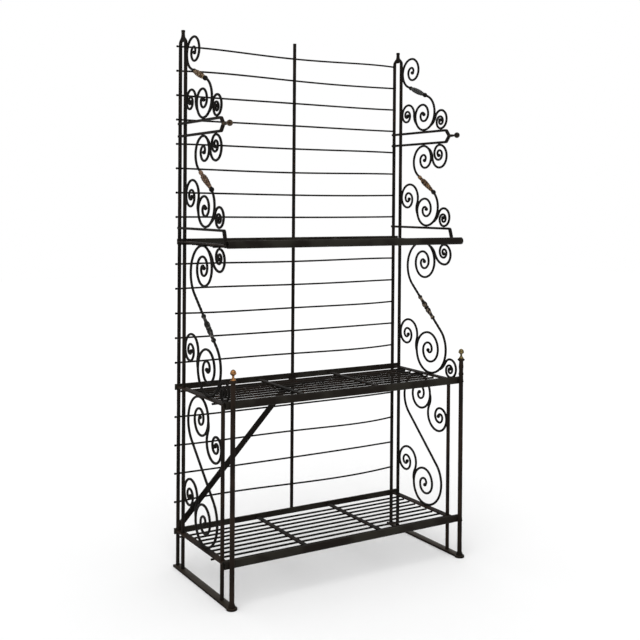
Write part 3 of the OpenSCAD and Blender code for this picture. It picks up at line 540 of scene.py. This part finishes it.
def square_neck(x):
    """A square section carried up, each station with its own half width: drawn in, then a block."""
    z = np.array([2008, 2014, 2020, 2026, 2032, 2034.5, 2036, 2040.5, 2042.2, 2043])
    half = np.array([8.2, 7.6, 6.5, 5.9, 5.7, 5.9, 6.4, 6.4, 6.0, 5.0])
    line = np.stack([np.full(10, x), np.full(10, PAIR_Y), z], 1)
    return flat_bar(line, ACROSS, 18, 18, 9 - half, corner=4.0, rub=0.2, seed=6)


WEB = [(0, -6), (8, -5.4), (12, -3.4), (13.4, 0), (12, 3.4), (8, 5.4), (0, 6)]
for side, x in SIDES.items():
    web = turned(WEB, (x, PAIR_Y, 2010.5), ACROSS, side=UP, sides=32)
    shapes = [leaning_bar(x, -1), leaning_bar(x, 1), square_neck(x), web]
    put(f"{side}_cap_forging", shapes, frame_paint, "frame_bars", f"{side}_post_cap")

# %% [markdown]
# ## Brackets and arms
# The fork brackets once carried rods for hanging goods, and the arms brace the posts over the top
# shelf. Both are flat bar bent on the anvil, so each is one section carried round a line with
# small round corners.


# %% Lines with round corners
def bent(corners, radius, step=4.0):
    """Straight runs joined by arcs: each corner is cut off at the radius from it and rounded with a
    curve that starts and ends along the runs."""
    corners = np.asarray(corners, float)
    pieces = [corners[:1]]
    for before, here, after in zip(corners[:-2], corners[1:-1], corners[2:]):
        start = here + (before - here) / np.linalg.norm(before - here) * radius
        end = here + (after - here) / np.linalg.norm(after - here) * radius
        t = np.linspace(0, 1, 9)[:, None]
        pieces.append((1 - t) ** 2 * start + 2 * t * (1 - t) * here + t**2 * end)
    path = np.vstack([*pieces, corners[-1:]])
    run = distances(path)
    along, inset = stations(run[-1], step, 0.8)
    places = np.unique(np.concatenate([along, run[1:-1]]))
    inset = np.interp(places, along, inset)
    return np.stack([np.interp(places, run, path[:, k]) for k in range(3)], 1), inset


# %% Fork brackets, their balls, and the arms
FORK_Y, FORK_TIP = -124.0, -144.0
FORK_NECK = [(0, 0), (6.6, 0), (7.2, 1.5), (6.6, 3.4), (4.6, 5.6), (4.1, 11), (4.8, 13), (6.1, 15),
             (4.8, 17.2), (4.3, 20), (4.3, 37), (0, 37)]
angles = np.linspace(-1.25, np.pi / 2, 22)
FORK_KNOB = [(0, 34.3), *[(11.5 * np.cos(a), 45.5 + 11.5 * np.sin(a)) for a in angles]]


def knob_relief(t, h):
    """A shallow lattice of dimples round the ball."""
    return -0.45 * (0.5 + 0.5 * np.cos(9 * t) * np.cos((h - 45.5) * 0.55)) * np.clip((h - 36) / 3, 0, 1)


for n, (side, x) in enumerate(SIDES.items()):
    back = REAR_Y + 10.5
    fork = [(x, back, FORK_Z + FORK_H), (x, FORK_Y + 2, FORK_Z + FORK_H), (x, FORK_TIP + 3, FORK_Z),
            (x, FORK_Y + 2, FORK_Z - FORK_H), (x, back, FORK_Z - FORK_H)]
    line, inset = bent(fork, 5.0)
    bar = flat_bar(line, ACROSS, BRACKET_W, BRACKET_T, inset, rub=0.25, seed=31 + n)
    put(f"{side}_fork_bar", [bar], frame_paint, "frame_bars", f"{side}_fork_bracket")
    foot = (x, FORK_TIP, FORK_Z)
    neck = turned(FORK_NECK, foot, (0, -1, 0), sides=32)
    knob = turned(FORK_KNOB, foot, (0, -1, 0), relief=knob_relief)
    finish = {"left": ball_bronze, "right": olive_bronze}[side]
    put(f"{side}_fork_knob", [neck, knob], finish, "bracket_balls", f"{side}_fork_ball")
    arm = [(x, back, ARM_Z), (x, -150, ARM_Z), (x, -165.5, TOP_Z + 0.2)]
    line, inset = bent(arm, 5.0)
    bar = flat_bar(line, ACROSS, BRACKET_W, BRACKET_T, inset, rub=0.25, seed=33 + n)
    put(f"{side}_arm_bar", [bar], frame_paint, "frame_bars", f"{side}_arm")

# %% [markdown]
# ## Scrolls
# A smith curls a bar by quarter turns, each on a smaller radius than the last. The drawing does
# the same, so a scroll is a list of arcs: middle, radius, first angle and sweep, in the plane of
# the end frame. An S-bar is two such curls joined by a straight stem that touches both circles.


# %% Arcs of a curl
def toward(degrees):
    return np.array([np.cos(np.radians(degrees)), np.sin(np.radians(degrees))])


def quarter_turns(c, r, a, turn, first, last, count):
    """Quarter turns after an arc (c, r) that ends at a. Their radii go from first to last, by steps
    that are larger at first: last plus the difference times what is left, to the power 1.2."""
    arcs = []
    for radius in last + (first - last) * np.linspace(1, 0, count) ** 1.2:
        c = c + (r - radius) * toward(a)
        r = radius
        arcs.append((c, r, a, 90 * turn))
        a = a + 90 * turn
    return arcs


def s_bar(cu, ru, upper, cl, rl, lower):
    """Upper arcs and lower arcs of an S-bar. The stem is the tangent that crosses between the circles."""
    cu, cl = np.array(cu), np.array(cl)
    d = cu - cl
    a = np.degrees(np.arctan2(d[1], d[0]) - np.arccos(-(ru + rl) / np.hypot(*d)))
    up = [(cu, ru, a, 90 - a)] + quarter_turns(cu, ru, 90, 1, *upper)
    down = [(cl, rl, a + 180, 90 - a)] + quarter_turns(cl, rl, 270, 1, *lower)
    return up, down


def curl_line(arcs, step=2.2):
    """Points along the arcs, about step apart."""
    points = []
    for c, r, a, sweep in arcs:
        count = max(4, int(abs(np.radians(sweep)) * r / step))
        turn = np.radians(a + sweep * np.linspace(0, 1, count, endpoint=False))
        points.append(c + r * np.stack([np.cos(turn), np.sin(turn)], 1))
    c, r, a, sweep = arcs[-1]
    return np.vstack([*points, c + r * toward(a + sweep)])


# %% The four S-bars of an end frame
BAR_R, BALL_R = 4.75, 7.5
SEAT, BRANCH = BAR_R + TOUCH_GAP, 2 * BAR_R + TOUCH_GAP
HALF_T = BRACKET_T / 2
CROWN_FLOOR = FORK_Z + FORK_H + HALF_T + SEAT
SECOND_CEILING = FORK_Z - FORK_H - HALF_T - SEAT
SECOND_FLOOR = ARM_Z + HALF_T + SEAT
THIRD_CEILING, THIRD_FLOOR = TOP_Z - FLAT_T - SEAT, WORKTOP_Z + SEAT
LOWER_CEILING, LOWER_FLOOR = WORKTOP_Z - FLAT_T - SEAT, LOWER_Z + SEAT

crown = s_bar((WALL_Y - 60, POST_TOP_Z + 17 - SEAT - 60), 60, (60 * 0.83, 8, 6),
              (POST_FACE_Y - 154, CROWN_FLOOR + 71), 71, (71 * 0.81, 8.5, 7))
second = s_bar((POST_FACE_Y - 154, SECOND_CEILING - 66), 66, (66 * 0.76, 8.5, 6),
               (POST_FACE_Y - 175, SECOND_FLOOR + 77), 77, (77 * 0.785, 9.5, 7))
third = s_bar((POST_FACE_Y - 155, THIRD_CEILING - 104), 104, (104 * 0.75, 9, 9),
              (POST_FACE_Y - 207, THIRD_FLOOR + 104), 104, (104 * 0.846, 9, 9))
lowest = s_bar((POST_FACE_Y - 136, LOWER_CEILING - 100), 100, (75, 9.5, 8),
               (THIN_FACE_Y + 138, LOWER_FLOOR + 104), 104, (104 * 0.76, 9.5, 8))
S_BARS = {"crown": crown, "second": second, "third": third, "lower": lowest}
for name, (up, down) in S_BARS.items():
    curled = sum(abs(np.radians(sweep)) * r for _, r, _, sweep in up + down)
    print(name, "scroll, bar length:", round(curled), "mm in its curls")

# %% [markdown]
# The small scrolls leave the side of a larger curl. Where one touches a bar or a post, its circle
# is worked out from the circle that it leaves, so that the two bars just meet.


# %% The small scrolls
def small_scroll(m, r, c, knee, s, contact):
    """First an arc that leaves the larger curl, up to the angle knee, then an arc of radius s to the
    place where it touches, then six quarter turns. The larger curl's middle comes with it."""
    turn = np.sign(contact - knee)
    a = np.degrees(np.arctan2(c[1] - m[1], c[0] - m[0]))
    if turn < 0 and knee > 0 and a < 0:
        a += 360
    m2 = m + (r - s) * toward(knee)
    arcs = [(m, r, a, knee - a), (m2, s, knee, contact - knee)]
    return c, arcs + quarter_turns(m2, s, contact, turn, s * 0.72, s * 0.19, 6)


def rear_small(bar, rise):
    c, r = bar[1][2][:2]
    a, b = WALL_Y - c[0], r + BRANCH
    s = (a * a + rise * rise - b * b) / (2 * (b + a))
    return small_scroll(np.array([WALL_Y - s, c[1] + rise]), s, c, 90, s, 0)


def floor_small(bar, z, s):
    c, r = bar[1][0][:2]
    y = c[0] - np.sqrt((r + s + BRANCH) ** 2 - (z + s - c[1]) ** 2)
    return small_scroll(np.array([y, z + s]), s, c, 90, s, 270)


def ceiling_small(bar, z, lead, s):
    c, r = bar[0][1][:2]
    h = z - 2 * s + lead
    y = c[0] - np.sqrt((r + lead + BRANCH) ** 2 - (h - c[1]) ** 2)
    return small_scroll(np.array([y, h]), lead, c, -90, s, -270)


def front_small(bar, wall, s, drop):
    c, r = bar[0][2][:2]
    m = np.array([wall + s, c[1] - drop])
    return small_scroll(m, np.hypot(*(c - m)) - r - BRANCH, c, -90, s, -180)


SMALL = [rear_small(crown, 12), floor_small(crown, CROWN_FLOOR, 37),
         ceiling_small(second, SECOND_CEILING, 46, 46), rear_small(second, 54),
         floor_small(second, SECOND_FLOOR, 36), ceiling_small(third, THIRD_CEILING - 6.2, 64, 40),
         rear_small(third, 58), floor_small(third, THIRD_FLOOR, 36),
         front_small(lowest, THIN_FACE_Y + SEAT, 55, 74), rear_small(lowest, 76)]
print("small scrolls:", len(SMALL), "in each end frame")


# %% A scarf: the thin start of a small scroll
def scarf(c, arcs, length=46.0):
    """The smith draws the start of a small scroll out thin and lays it along the larger curl. So
    this goes back along a circle round the larger curl's middle, sinking 5 mm into its bar."""
    m, _, a, sweep = arcs[0]
    start = m + arcs[0][1] * toward(a)
    r = np.hypot(*(start - c))
    here = np.degrees(np.arctan2(*(start - c)[::-1]))
    back = np.linspace(1, 0, 20, endpoint=False)
    turn = np.radians(here + np.sign(sweep) * np.degrees(length / r) * back)
    reach = r - 5.0 * back**1.5
    return c + reach[:, None] * np.stack([np.cos(turn), np.sin(turn)], 1)


# %% A curled bar with a ball at its end
def curled_bar(flat_line, x, ball_ends, twist=(0, 0), drawn=0.0, seed=1, sides=16):
    """The bar keeps its radius but for a little drawing down towards the ends, and swells to a ball
    at each end that is a ball. Over the length drawn, its start is forged out thin. Between the two
    distances in twist it is square and twisted: a wave of four crests that turns as it goes along."""
    for end, tip in ((0, 0), (1, -1)):
        if ball_ends[end]:
            way = flat_line[tip] - flat_line[1 if tip == 0 else -2]
            way = way / np.hypot(*way) * BALL_R
            reach = np.sin(np.linspace(0, 0.985, 9)[1:] * np.pi / 2)[:, None]
            more = flat_line[tip] + way * reach
            flat_line = np.vstack([more[::-1], flat_line]) if tip == 0 else np.vstack([flat_line, more])
    s = distances(flat_line)
    to_ends = np.minimum(s if ball_ends[0] else np.inf, (s[-1] - s) if ball_ends[1] else np.inf)
    ball = np.sqrt(np.clip(BALL_R**2 - (to_ends - BALL_R) ** 2, 0, None))
    bar = BAR_R - 0.35 * np.exp(-to_ends / 120)
    if drawn:
        bar = bar * (0.35 + 0.65 * np.clip(s / drawn, 0, 1) ** 0.7)
    radius = np.where(to_ends < BALL_R, ball, np.maximum(ball, bar))
    t = around(sides)
    start, end = twist
    twisted = np.clip((s - start) / 6, 0, 1) * np.clip((end - s) / 6, 0, 1)
    wave = 0.10 * twisted[:, None] * np.cos(4 * (t + s[:, None] / 11))
    r = radius[:, None] * (1 + wave)
    line = np.c_[np.full(len(s), x), flat_line]
    rings = carried(line, ACROSS, r * np.cos(t), r * np.sin(t))
    return shaped(rings, line, 0.16, 16, 0.12, np.clip(wave * 3, 0, 1), seed)


def s_line(bar):
    """The whole centre line of an S-bar, from its lower tip to its upper tip, and where the stem
    starts and ends along it."""
    up, down = (curl_line(arcs) for arcs in bar)
    stem = np.linspace(down[0], up[0], max(3, int(np.hypot(*(up[0] - down[0])) / 1.6)))[1:-1]
    low = distances(down)[-1] + BALL_R
    return np.vstack([down[::-1], stem, up]), low, low + np.hypot(*(up[0] - down[0]))


for n, (side, x) in enumerate(SIDES.items()):
    for k, (name, bar) in enumerate(S_BARS.items()):
        line, low, high = s_line(bar)
        twist = (low - 4, high + 4) if name == "third" else (0, 0)
        curl = curled_bar(line, x, (True, True), twist, seed=40 + 4 * n + k, sides=20)
        put(f"{side}_{name}_s_bar", [curl], scroll_paint, "scroll_bars", f"{side}_{name}_scroll")
    smalls = []
    for k, (c, arcs) in enumerate(SMALL):
        line = np.vstack([scarf(c, arcs), curl_line(arcs)])
        smalls.append(curled_bar(line, x, (False, True), drawn=46, seed=50 + k, sides=14))
    put(f"{side}_small_curls", smalls, scroll_paint, "scroll_bars", f"{side}_small_scrolls")

# %% [markdown]
# ## Cast spindles on the stems
# Three castings sit on the stems of each frame: leafy spindles on the upper two, each with a black
# knob below it and the crown's with a smaller one above it, and a row of turned beads on the third.
# The leaves are relief: the tips of short leaves in rows, each row turned by half a leaf against
# the next.


# %% Leaf relief and bead relief
def leaf_relief(low, high):
    """Rows of overlapping leaves between two heights: in each row of 7 mm, six crests whose edge
    steps down, set half a leaf further round in every second row."""

    def relief(t, h):
        row = (h + 200) / 7
        step = row - np.floor(row)
        crest = np.abs(np.cos(3 * t + np.floor(row) * np.pi / 2))
        inside = np.clip((h - low) / 4, 0, 1) * np.clip((high - h) / 4, 0, 1)
        return inside * (2.2 * crest**0.7 * (1 - 0.6 * step) - 1.3)

    return relief


def bead_relief(t, h):
    """Six shallow flutes, deepest on the beads."""
    return 0.5 * np.cos(6 * t) * (0.4 + 0.6 * np.exp(-(((h + 1) / 24) ** 2)))


# %% Profiles, as (radius, height above the stem's middle)
CROWN_SPINDLE = [(0, -44), (6.2, -43.5), (6.8, -39), (8.4, -31), (10, -18), (10.8, -6), (10.8, 8), (10.3, 22),
                 (9.2, 33), (7, 38.5), (6.1, 42), (6, 48), (0, 48)]
SECOND_SPINDLE = [(0, -58), (6.3, -57), (6.8, -52), (8.1, -38), (9.9, -22), (11, -6), (11.2, 8), (10.1, 19),
                  (7.6, 24), (6.5, 28), (6.9, 33), (7.7, 39), (8.3, 44), (7.9, 48.5), (6.2, 50), (0, 50)]
THIRD_SPINDLE = [(0, -64), (5.8, -64), (8.4, -62), (9.4, -58), (8.2, -55), (6.3, -52), (6.2, -50), (6.9, -42),
                 (8.2, -31), (9.8, -23), (10.8, -17), (10, -13), (7.3, -10), (7.2, -8), (9.4, -6), (10.4, -3),
                 (9.6, -1), (7.3, 1.5), (7.6, 3), (10.4, 8), (11.2, 15), (9.8, 22), (7.4, 27), (6.6, 34),
                 (6.2, 44), (6.3, 48), (8, 51), (9.4, 55), (8.4, 59), (6, 61), (0, 61)]
KNOB = [(0, -9), (5.8, -9), (8.2, -6.8), (9.6, -1.5), (9, 3), (6.8, 7.2), (0, 8.2)]

COLLAR = [(0, -6), (6.2, -6), (8, -3.5), (8.8, 0), (8, 4), (6.2, 6.5), (0, 6.5)]
CROWN_KNOB, SECOND_KNOB, CROWN_COLLAR = -51.5, -66, 51


# %% Spindles
def on_stem(bar, x, profile, relief=None, shift=0.0):
    """Turn a profile round the stem of an S-bar, with its zero at the stem's middle plus shift."""
    low, high = (c + r * toward(a) for c, r, a, _ in (bar[1][0], bar[0][0]))
    way = (high - low) / np.hypot(*(high - low))
    foot = (low + high) / 2 + shift * way
    return turned(profile, (x, *foot), (0, *way), relief=relief, sides=48, rub=0.3)


finishes = {"left": (tan_bronze, red_bronze, black_bronze), "right": (grey_bronze, brown_bronze, dark_bronze)}
# In the photograph the left castings sit lower on their stems than the right ones, by these lengths.
lower_by = {"left": (8, 5, 36), "right": (0, 0, 0)}
for side, x in SIDES.items():
    one, two, three = lower_by[side]
    castings = {
        "crown": on_stem(crown, x, CROWN_SPINDLE, leaf_relief(-40, 36), -one),
        "second": on_stem(second, x, SECOND_SPINDLE, leaf_relief(-54, 22), -two),
        "third": on_stem(third, x, THIRD_SPINDLE, bead_relief, -three),
    }
    for (name, casting), finish in zip(castings.items(), finishes[side]):
        nodes = [f"{side}_collars"] if name == "crown" else []
        put(f"{side}_{name}_spindle", [casting], finish, "cast_collars", *nodes)
    spots = [(crown, KNOB, CROWN_KNOB - one), (second, KNOB, SECOND_KNOB - two),
             (crown, COLLAR, CROWN_COLLAR - one)]
    knobs = [on_stem(bar, x, profile, shift=shift) for bar, profile, shift in spots]
    put(f"{side}_spindle_knobs", knobs, scroll_paint, "scroll_bars")

# %% [markdown]
# ## Shelves
# Each shelf has a round tube in front, a flat rail behind, flat bars from front to back and nine
# thin rods under them. The rods' tops are rubbed to grey steel where jars and trays slid, most of
# all on the worktop.


# %% Front rails
def tube(x0, x1, y, z, radius, wall, seed):
    """A tube with open ends: the outer surface, the rims and the bore are one closed section line,
    turned round the tube's axis."""
    along, inset = stations(x1 - x0, 6.0, 0.7)
    outer = np.stack([radius - inset, x0 + along], 1)
    bore = np.stack([np.full(len(along), radius - wall), x0 + along[::-1]], 1)
    profile = np.vstack([outer, bore, outer[:1]])
    t = around(40)
    r = profile[:, :1]
    rings = np.stack([profile[:, 1:] + 0 * t, y + r * np.cos(t), z + r * np.sin(t)], -1)
    uneven = 0.16 * dents(rings, 50, seed) * (np.arange(len(profile)) < len(along))[:, None]
    uneven[-1] = uneven[0]
    rings[..., 1] += uneven * np.cos(t)
    rings[..., 2] += uneven * np.sin(t)
    n, m = rings.shape[:2]
    i, j = np.meshgrid(np.arange(n - 1), np.arange(m), indexing="ij")
    nxt, k = (i + 1) % (n - 1), (j + 1) % m
    quads = np.stack([i * m + j, nxt * m + j, nxt * m + k, i * m + k], -1).reshape(-1, 4)[:, ::-1]
    wear = 0.6 * np.clip(np.sin(t), 0, 1) + 0 * r
    return rings[:-1].reshape(-1, 3), quads.tolist(), {"wear": wear[:-1].ravel()}


OVERHANG = {"lower": 20.0, "worktop": 20.0, "top": 14.0}
RAIL_R, RAIL_WALL, RAIL_RISE = 14.0, 2.0, 1.5
REAR_RAIL_W, REAR_RAIL_T, HALF_FLAT = 22, 8, FLAT_T / 2
for n, (shelf, z) in enumerate(SHELVES.items()):
    end = HALF_W + OVERHANG[shelf]
    rail = tube(-end, end, RAIL_Y, z + RAIL_RISE, RAIL_R, RAIL_WALL, 60 + n)
    put(f"{shelf}_front_tube", [rail], rail_paint, "shelf_rails", f"{shelf}_front_rail")
    line, inset = straight((-end, REAR_RAIL_Y, z - HALF_FLAT), (end, REAR_RAIL_Y, z - HALF_FLAT))
    rear = flat_bar(line, BACK, REAR_RAIL_T, REAR_RAIL_W, inset, rub=0.3, seed=63 + n)
    put(f"{shelf}_rear_bar", [rear], rail_paint, "shelf_rails", f"{shelf}_rear_rail")


# %% Flat bars and rods
def shelf_flat(x, width, z, seed):
    """A flat bar from the front tube's wall back to the rear rail."""
    front, rear = RAIL_Y + RAIL_R - 2.05, REAR_RAIL_Y - REAR_RAIL_T / 2
    line, inset = straight((x, front, z - HALF_FLAT), (x, rear, z - HALF_FLAT), nose=0.3)
    return flat_bar(line, ACROSS, width, FLAT_T, inset, rub=0.5, seed=seed)


ROD_ROWS = np.linspace(RAIL_Y + 66, REAR_RAIL_Y - 52, 9)
LONG_RODS = (1, 8)
ROD_R, WORKTOP_ROD_R = 3.75, 4.1
for n, (shelf, z) in enumerate(SHELVES.items()):
    sides = [shelf_flat(x, 26, z, 70 + n) for x in SIDES.values()]
    put(f"{shelf}_side_flats", sides, flat_paint, "shelf_flats", f"{shelf}_side_bars")
    crosses = [shelf_flat(x, 18, z, 73 + n) for x in (-HALF_W / 3, HALF_W / 3)]
    put(f"{shelf}_cross_flats", crosses, frame_paint, "shelf_flats", f"{shelf}_cross_bars")
    rods = []
    for k, y in enumerate(ROD_ROWS):
        end = HALF_W + 19 if k in LONG_RODS else HALF_W - 7
        # The worktop's rods look thicker in the photograph, and hide the ground between them.
        rub, radius = (0.95, WORKTOP_ROD_R) if shelf == "worktop" else (0.35, ROD_R)
        under = z - FLAT_T - TOUCH_GAP - radius
        line, inset = straight((-end, y, under), (end, y, under), step=7)
        seed = 80 + 9 * n + k
        rods.append(round_bar(line, BACK, radius - inset, 12, depth=0.08, size=60, rub=rub, seed=seed))
    put(f"{shelf}_rod_set", rods, rod_paint, "shelf_rods", f"{shelf}_rods")

# %% [markdown]
# ## The back
# Seventeen wires run through the rear posts. They are hammered to a small head on the left and cut
# off flush on the right. None is straight: each was measured at three places, left of the middle
# bar, at it and right of it, and a smooth curve goes through those places and the two posts.

# %% Back wires
WIRE_Z = [*np.linspace(250, 575, 4), *np.linspace(782, 1158, 5), *np.linspace(1337, 1984, 8)]
SAGS = [(-4, 3, 8), (2, 3, 3), (2, 3, 7), (3, 3, 3), (0, 2, 5), (2, 2.5, 2), (4, 3.5, 4), (0, 2.5, 2.5),
        (1, 2.5, 1), (1, 2, 2), (2, 4, 4), (4, 5.5, 3.5), (0, 1, 0), (0, 0, 0.5), (1.5, 1.5, 2), (-3, 2, 4),
        (1, 6, 3)]


WIRE_R, HEAD_R, HEAD_X, FLUSH_X = 3.5, 4.5, -513, 506.9
SPAN_END = 493


def wire(z, sag, seed):
    """A wire with a ball at its left end. The sag is the polynomial of the fourth degree through
    its three measured places and nothing at the posts."""
    head = HEAD_X - HEAD_R * np.cos(np.linspace(0.1, 1, 9) * np.pi)
    x = np.concatenate([head, np.linspace(-508, FLUSH_X - 0.5, 150)[1:], [FLUSH_X]])
    ball = np.sqrt(np.clip(HEAD_R**2 - (x - HEAD_X) ** 2, 0.2, None))
    radius = np.where(x < HEAD_X, ball, np.maximum(ball, WIRE_R))
    radius[-1] = WIRE_R - 0.5
    curve = np.polyfit([-SPAN_END, -240, 0, 200, SPAN_END], [0, *sag, 0], 4)
    drop = np.where(np.abs(x) < SPAN_END, np.polyval(curve, x), 0)
    line = np.stack([x, np.full(len(x), REAR_Y), z - drop], 1)
    return round_bar(line, BACK, radius, 12, depth=0.1, size=50, rub=0.1, seed=seed)


wires = [wire(z, sag, 90 + k) for k, (z, sag) in enumerate(zip(WIRE_Z, SAGS))]
put("back_wire_set", wires, wire_paint, "back_wires", "back_wires")

# %% Middle bar
middle = upright(0, REAR_Y, 132, 2040, 6.75, 19)
put("middle_back_bar", [middle], frame_paint, "frame_bars", "centre_bar")


# %% Brace
BRACE_LOW, BRACE_HIGH = np.array([-500.0, 165.0]), np.array([0.0, 692.0])
BRACE_HALF_W = 12


def brace():
    """A flat bar's outline in the plane of the back, carried through its thickness. The lower end is
    cut upright beside the post and level on the side bar; the upper end is round."""
    d = BRACE_HIGH - BRACE_LOW
    slope = np.degrees(np.arctan2(d[1], d[0]))
    along, up = toward(slope), toward(slope + 90)
    left_x = -508.0
    over, below = BRACE_LOW + BRACE_HALF_W * up, BRACE_LOW - BRACE_HALF_W * up
    left_z = over[1] + (left_x - over[0]) * along[1] / along[0]
    foot_x = below[0] + (LOWER_Z - below[1]) * along[0] / along[1]
    cap = [BRACE_HIGH + BRACE_HALF_W * toward(slope + a) for a in np.linspace(-90, 90, 17)]
    corners = np.array([(left_x, left_z), (left_x, LOWER_Z), (foot_x, LOWER_Z), *cap, (left_x, left_z)])
    run = distances(corners)
    places = np.unique(np.concatenate([run[:-1], np.arange(0, run[-1], 7.0)]))
    outline = np.stack([np.interp(places, run, corners[:, k]) for k in (0, 1)], 1)
    spine = BRACE_LOW + np.clip((outline - BRACE_LOW) @ along, -6, np.hypot(*d))[:, None] * along
    inward = (spine - outline) / BRACE_HALF_W
    levels = [(214.8, 0.9), (215.1, 0.3), (215.7, 0.0), (218.9, 0.0), (219.5, 0.3), (219.8, 0.9)]
    drawn_in = [(y, outline + inward * c) for y, c in levels]
    rings = np.stack([np.c_[p[:, 0], np.full(len(p), y), p[:, 1]] for y, p in drawn_in])
    wear = np.array([0.4, 0.7, 0.3, 0.2, 0.5, 0.3])[:, None] * np.ones(len(outline))
    return rings.reshape(-1, 3), skin_of(rings), {"wear": wear.ravel()}


put("brace_bar", [brace()], frame_paint, "frame_bars", "diagonal_brace")

# %% [markdown]
# ## Bolts
# The bolts keep their measured solids, which are already domed, and only take the paint.

# %% Bolts
for name in ("brace_bolts", "front_rail_bolts", "rear_rail_bolts"):
    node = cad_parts[name]
    node.data.materials.clear()
    node.data.materials.append(foot_paint)
print("bolts painted")

# %% [markdown]
# ## Floor and light
# The photograph has a white ground and soft light from all round. The world is white where the
# camera, a reflection or a see-through thing looks at it, and a calmer grey as a lamp, so that
# colours come out about as they were mixed. One wide soft lamp, as far off as the sun, lights the
# whole floor evenly from the upper left and gives the bars a bright and a dark side.

# %% World
world = bpy.data.worlds.new("studio")
bpy.context.scene.world = world
world.use_nodes = True
tree = world.node_tree
tree.nodes.clear()
path = tree.nodes.new("ShaderNodeLightPath")
looked_at = path.outputs["Is Camera Ray"]
for way in ("Is Glossy Ray", "Is Transmission Ray"):
    either = tree.nodes.new("ShaderNodeMath")
    either.operation = "MAXIMUM"
    tree.links.new(looked_at, either.inputs[0])
    tree.links.new(path.outputs[way], either.inputs[1])
    looked_at = either.outputs[0]
soft, white = (tree.nodes.new("ShaderNodeBackground") for _ in range(2))
soft.inputs["Color"].default_value = (0.85, 0.85, 0.85, 1)
white.inputs["Color"].default_value = (1, 1, 1, 1)
blend = tree.nodes.new("ShaderNodeMixShader")
tree.links.new(looked_at, blend.inputs[0])
tree.links.new(soft.outputs[0], blend.inputs[1])
tree.links.new(white.outputs[0], blend.inputs[2])
tree.links.new(blend.outputs[0], tree.nodes.new("ShaderNodeOutputWorld").inputs["Surface"])

# %% Lamp
lamp = bpy.data.lights.new("soft_sun", "SUN")
lamp.energy, lamp.angle = 1.0, 0.9
soft_sun = placed("soft_sun", lamp)
soft_sun.rotation_euler = Vector((0.45, 0.55, -1.0)).to_track_quat("-Z", "Y").to_euler()

# %% Floor
ground = Paint("floor_white")
pale = ground.over(ground.noise(0.6, 2) * 0.03, (0.95, 0.95, 0.95, 1), (0.93, 0.93, 0.925, 1))
ground.finish(pale, 0.9, ground.noise(0.05), bump=0.02, gloss=0.0)
reach = 14.0
floor_mesh = bpy.data.meshes.new("floor")
corners = [(-reach, -reach, 0), (reach, -reach, 0), (reach, reach, 0), (-reach, reach, 0)]
floor_mesh.from_pydata(corners, [], [(0, 1, 2, 3)])
floor_mesh.materials.append(ground.material)
floor = placed("floor", floor_mesh)

scene = bpy.context.scene
scene.view_settings.view_transform = "Standard"
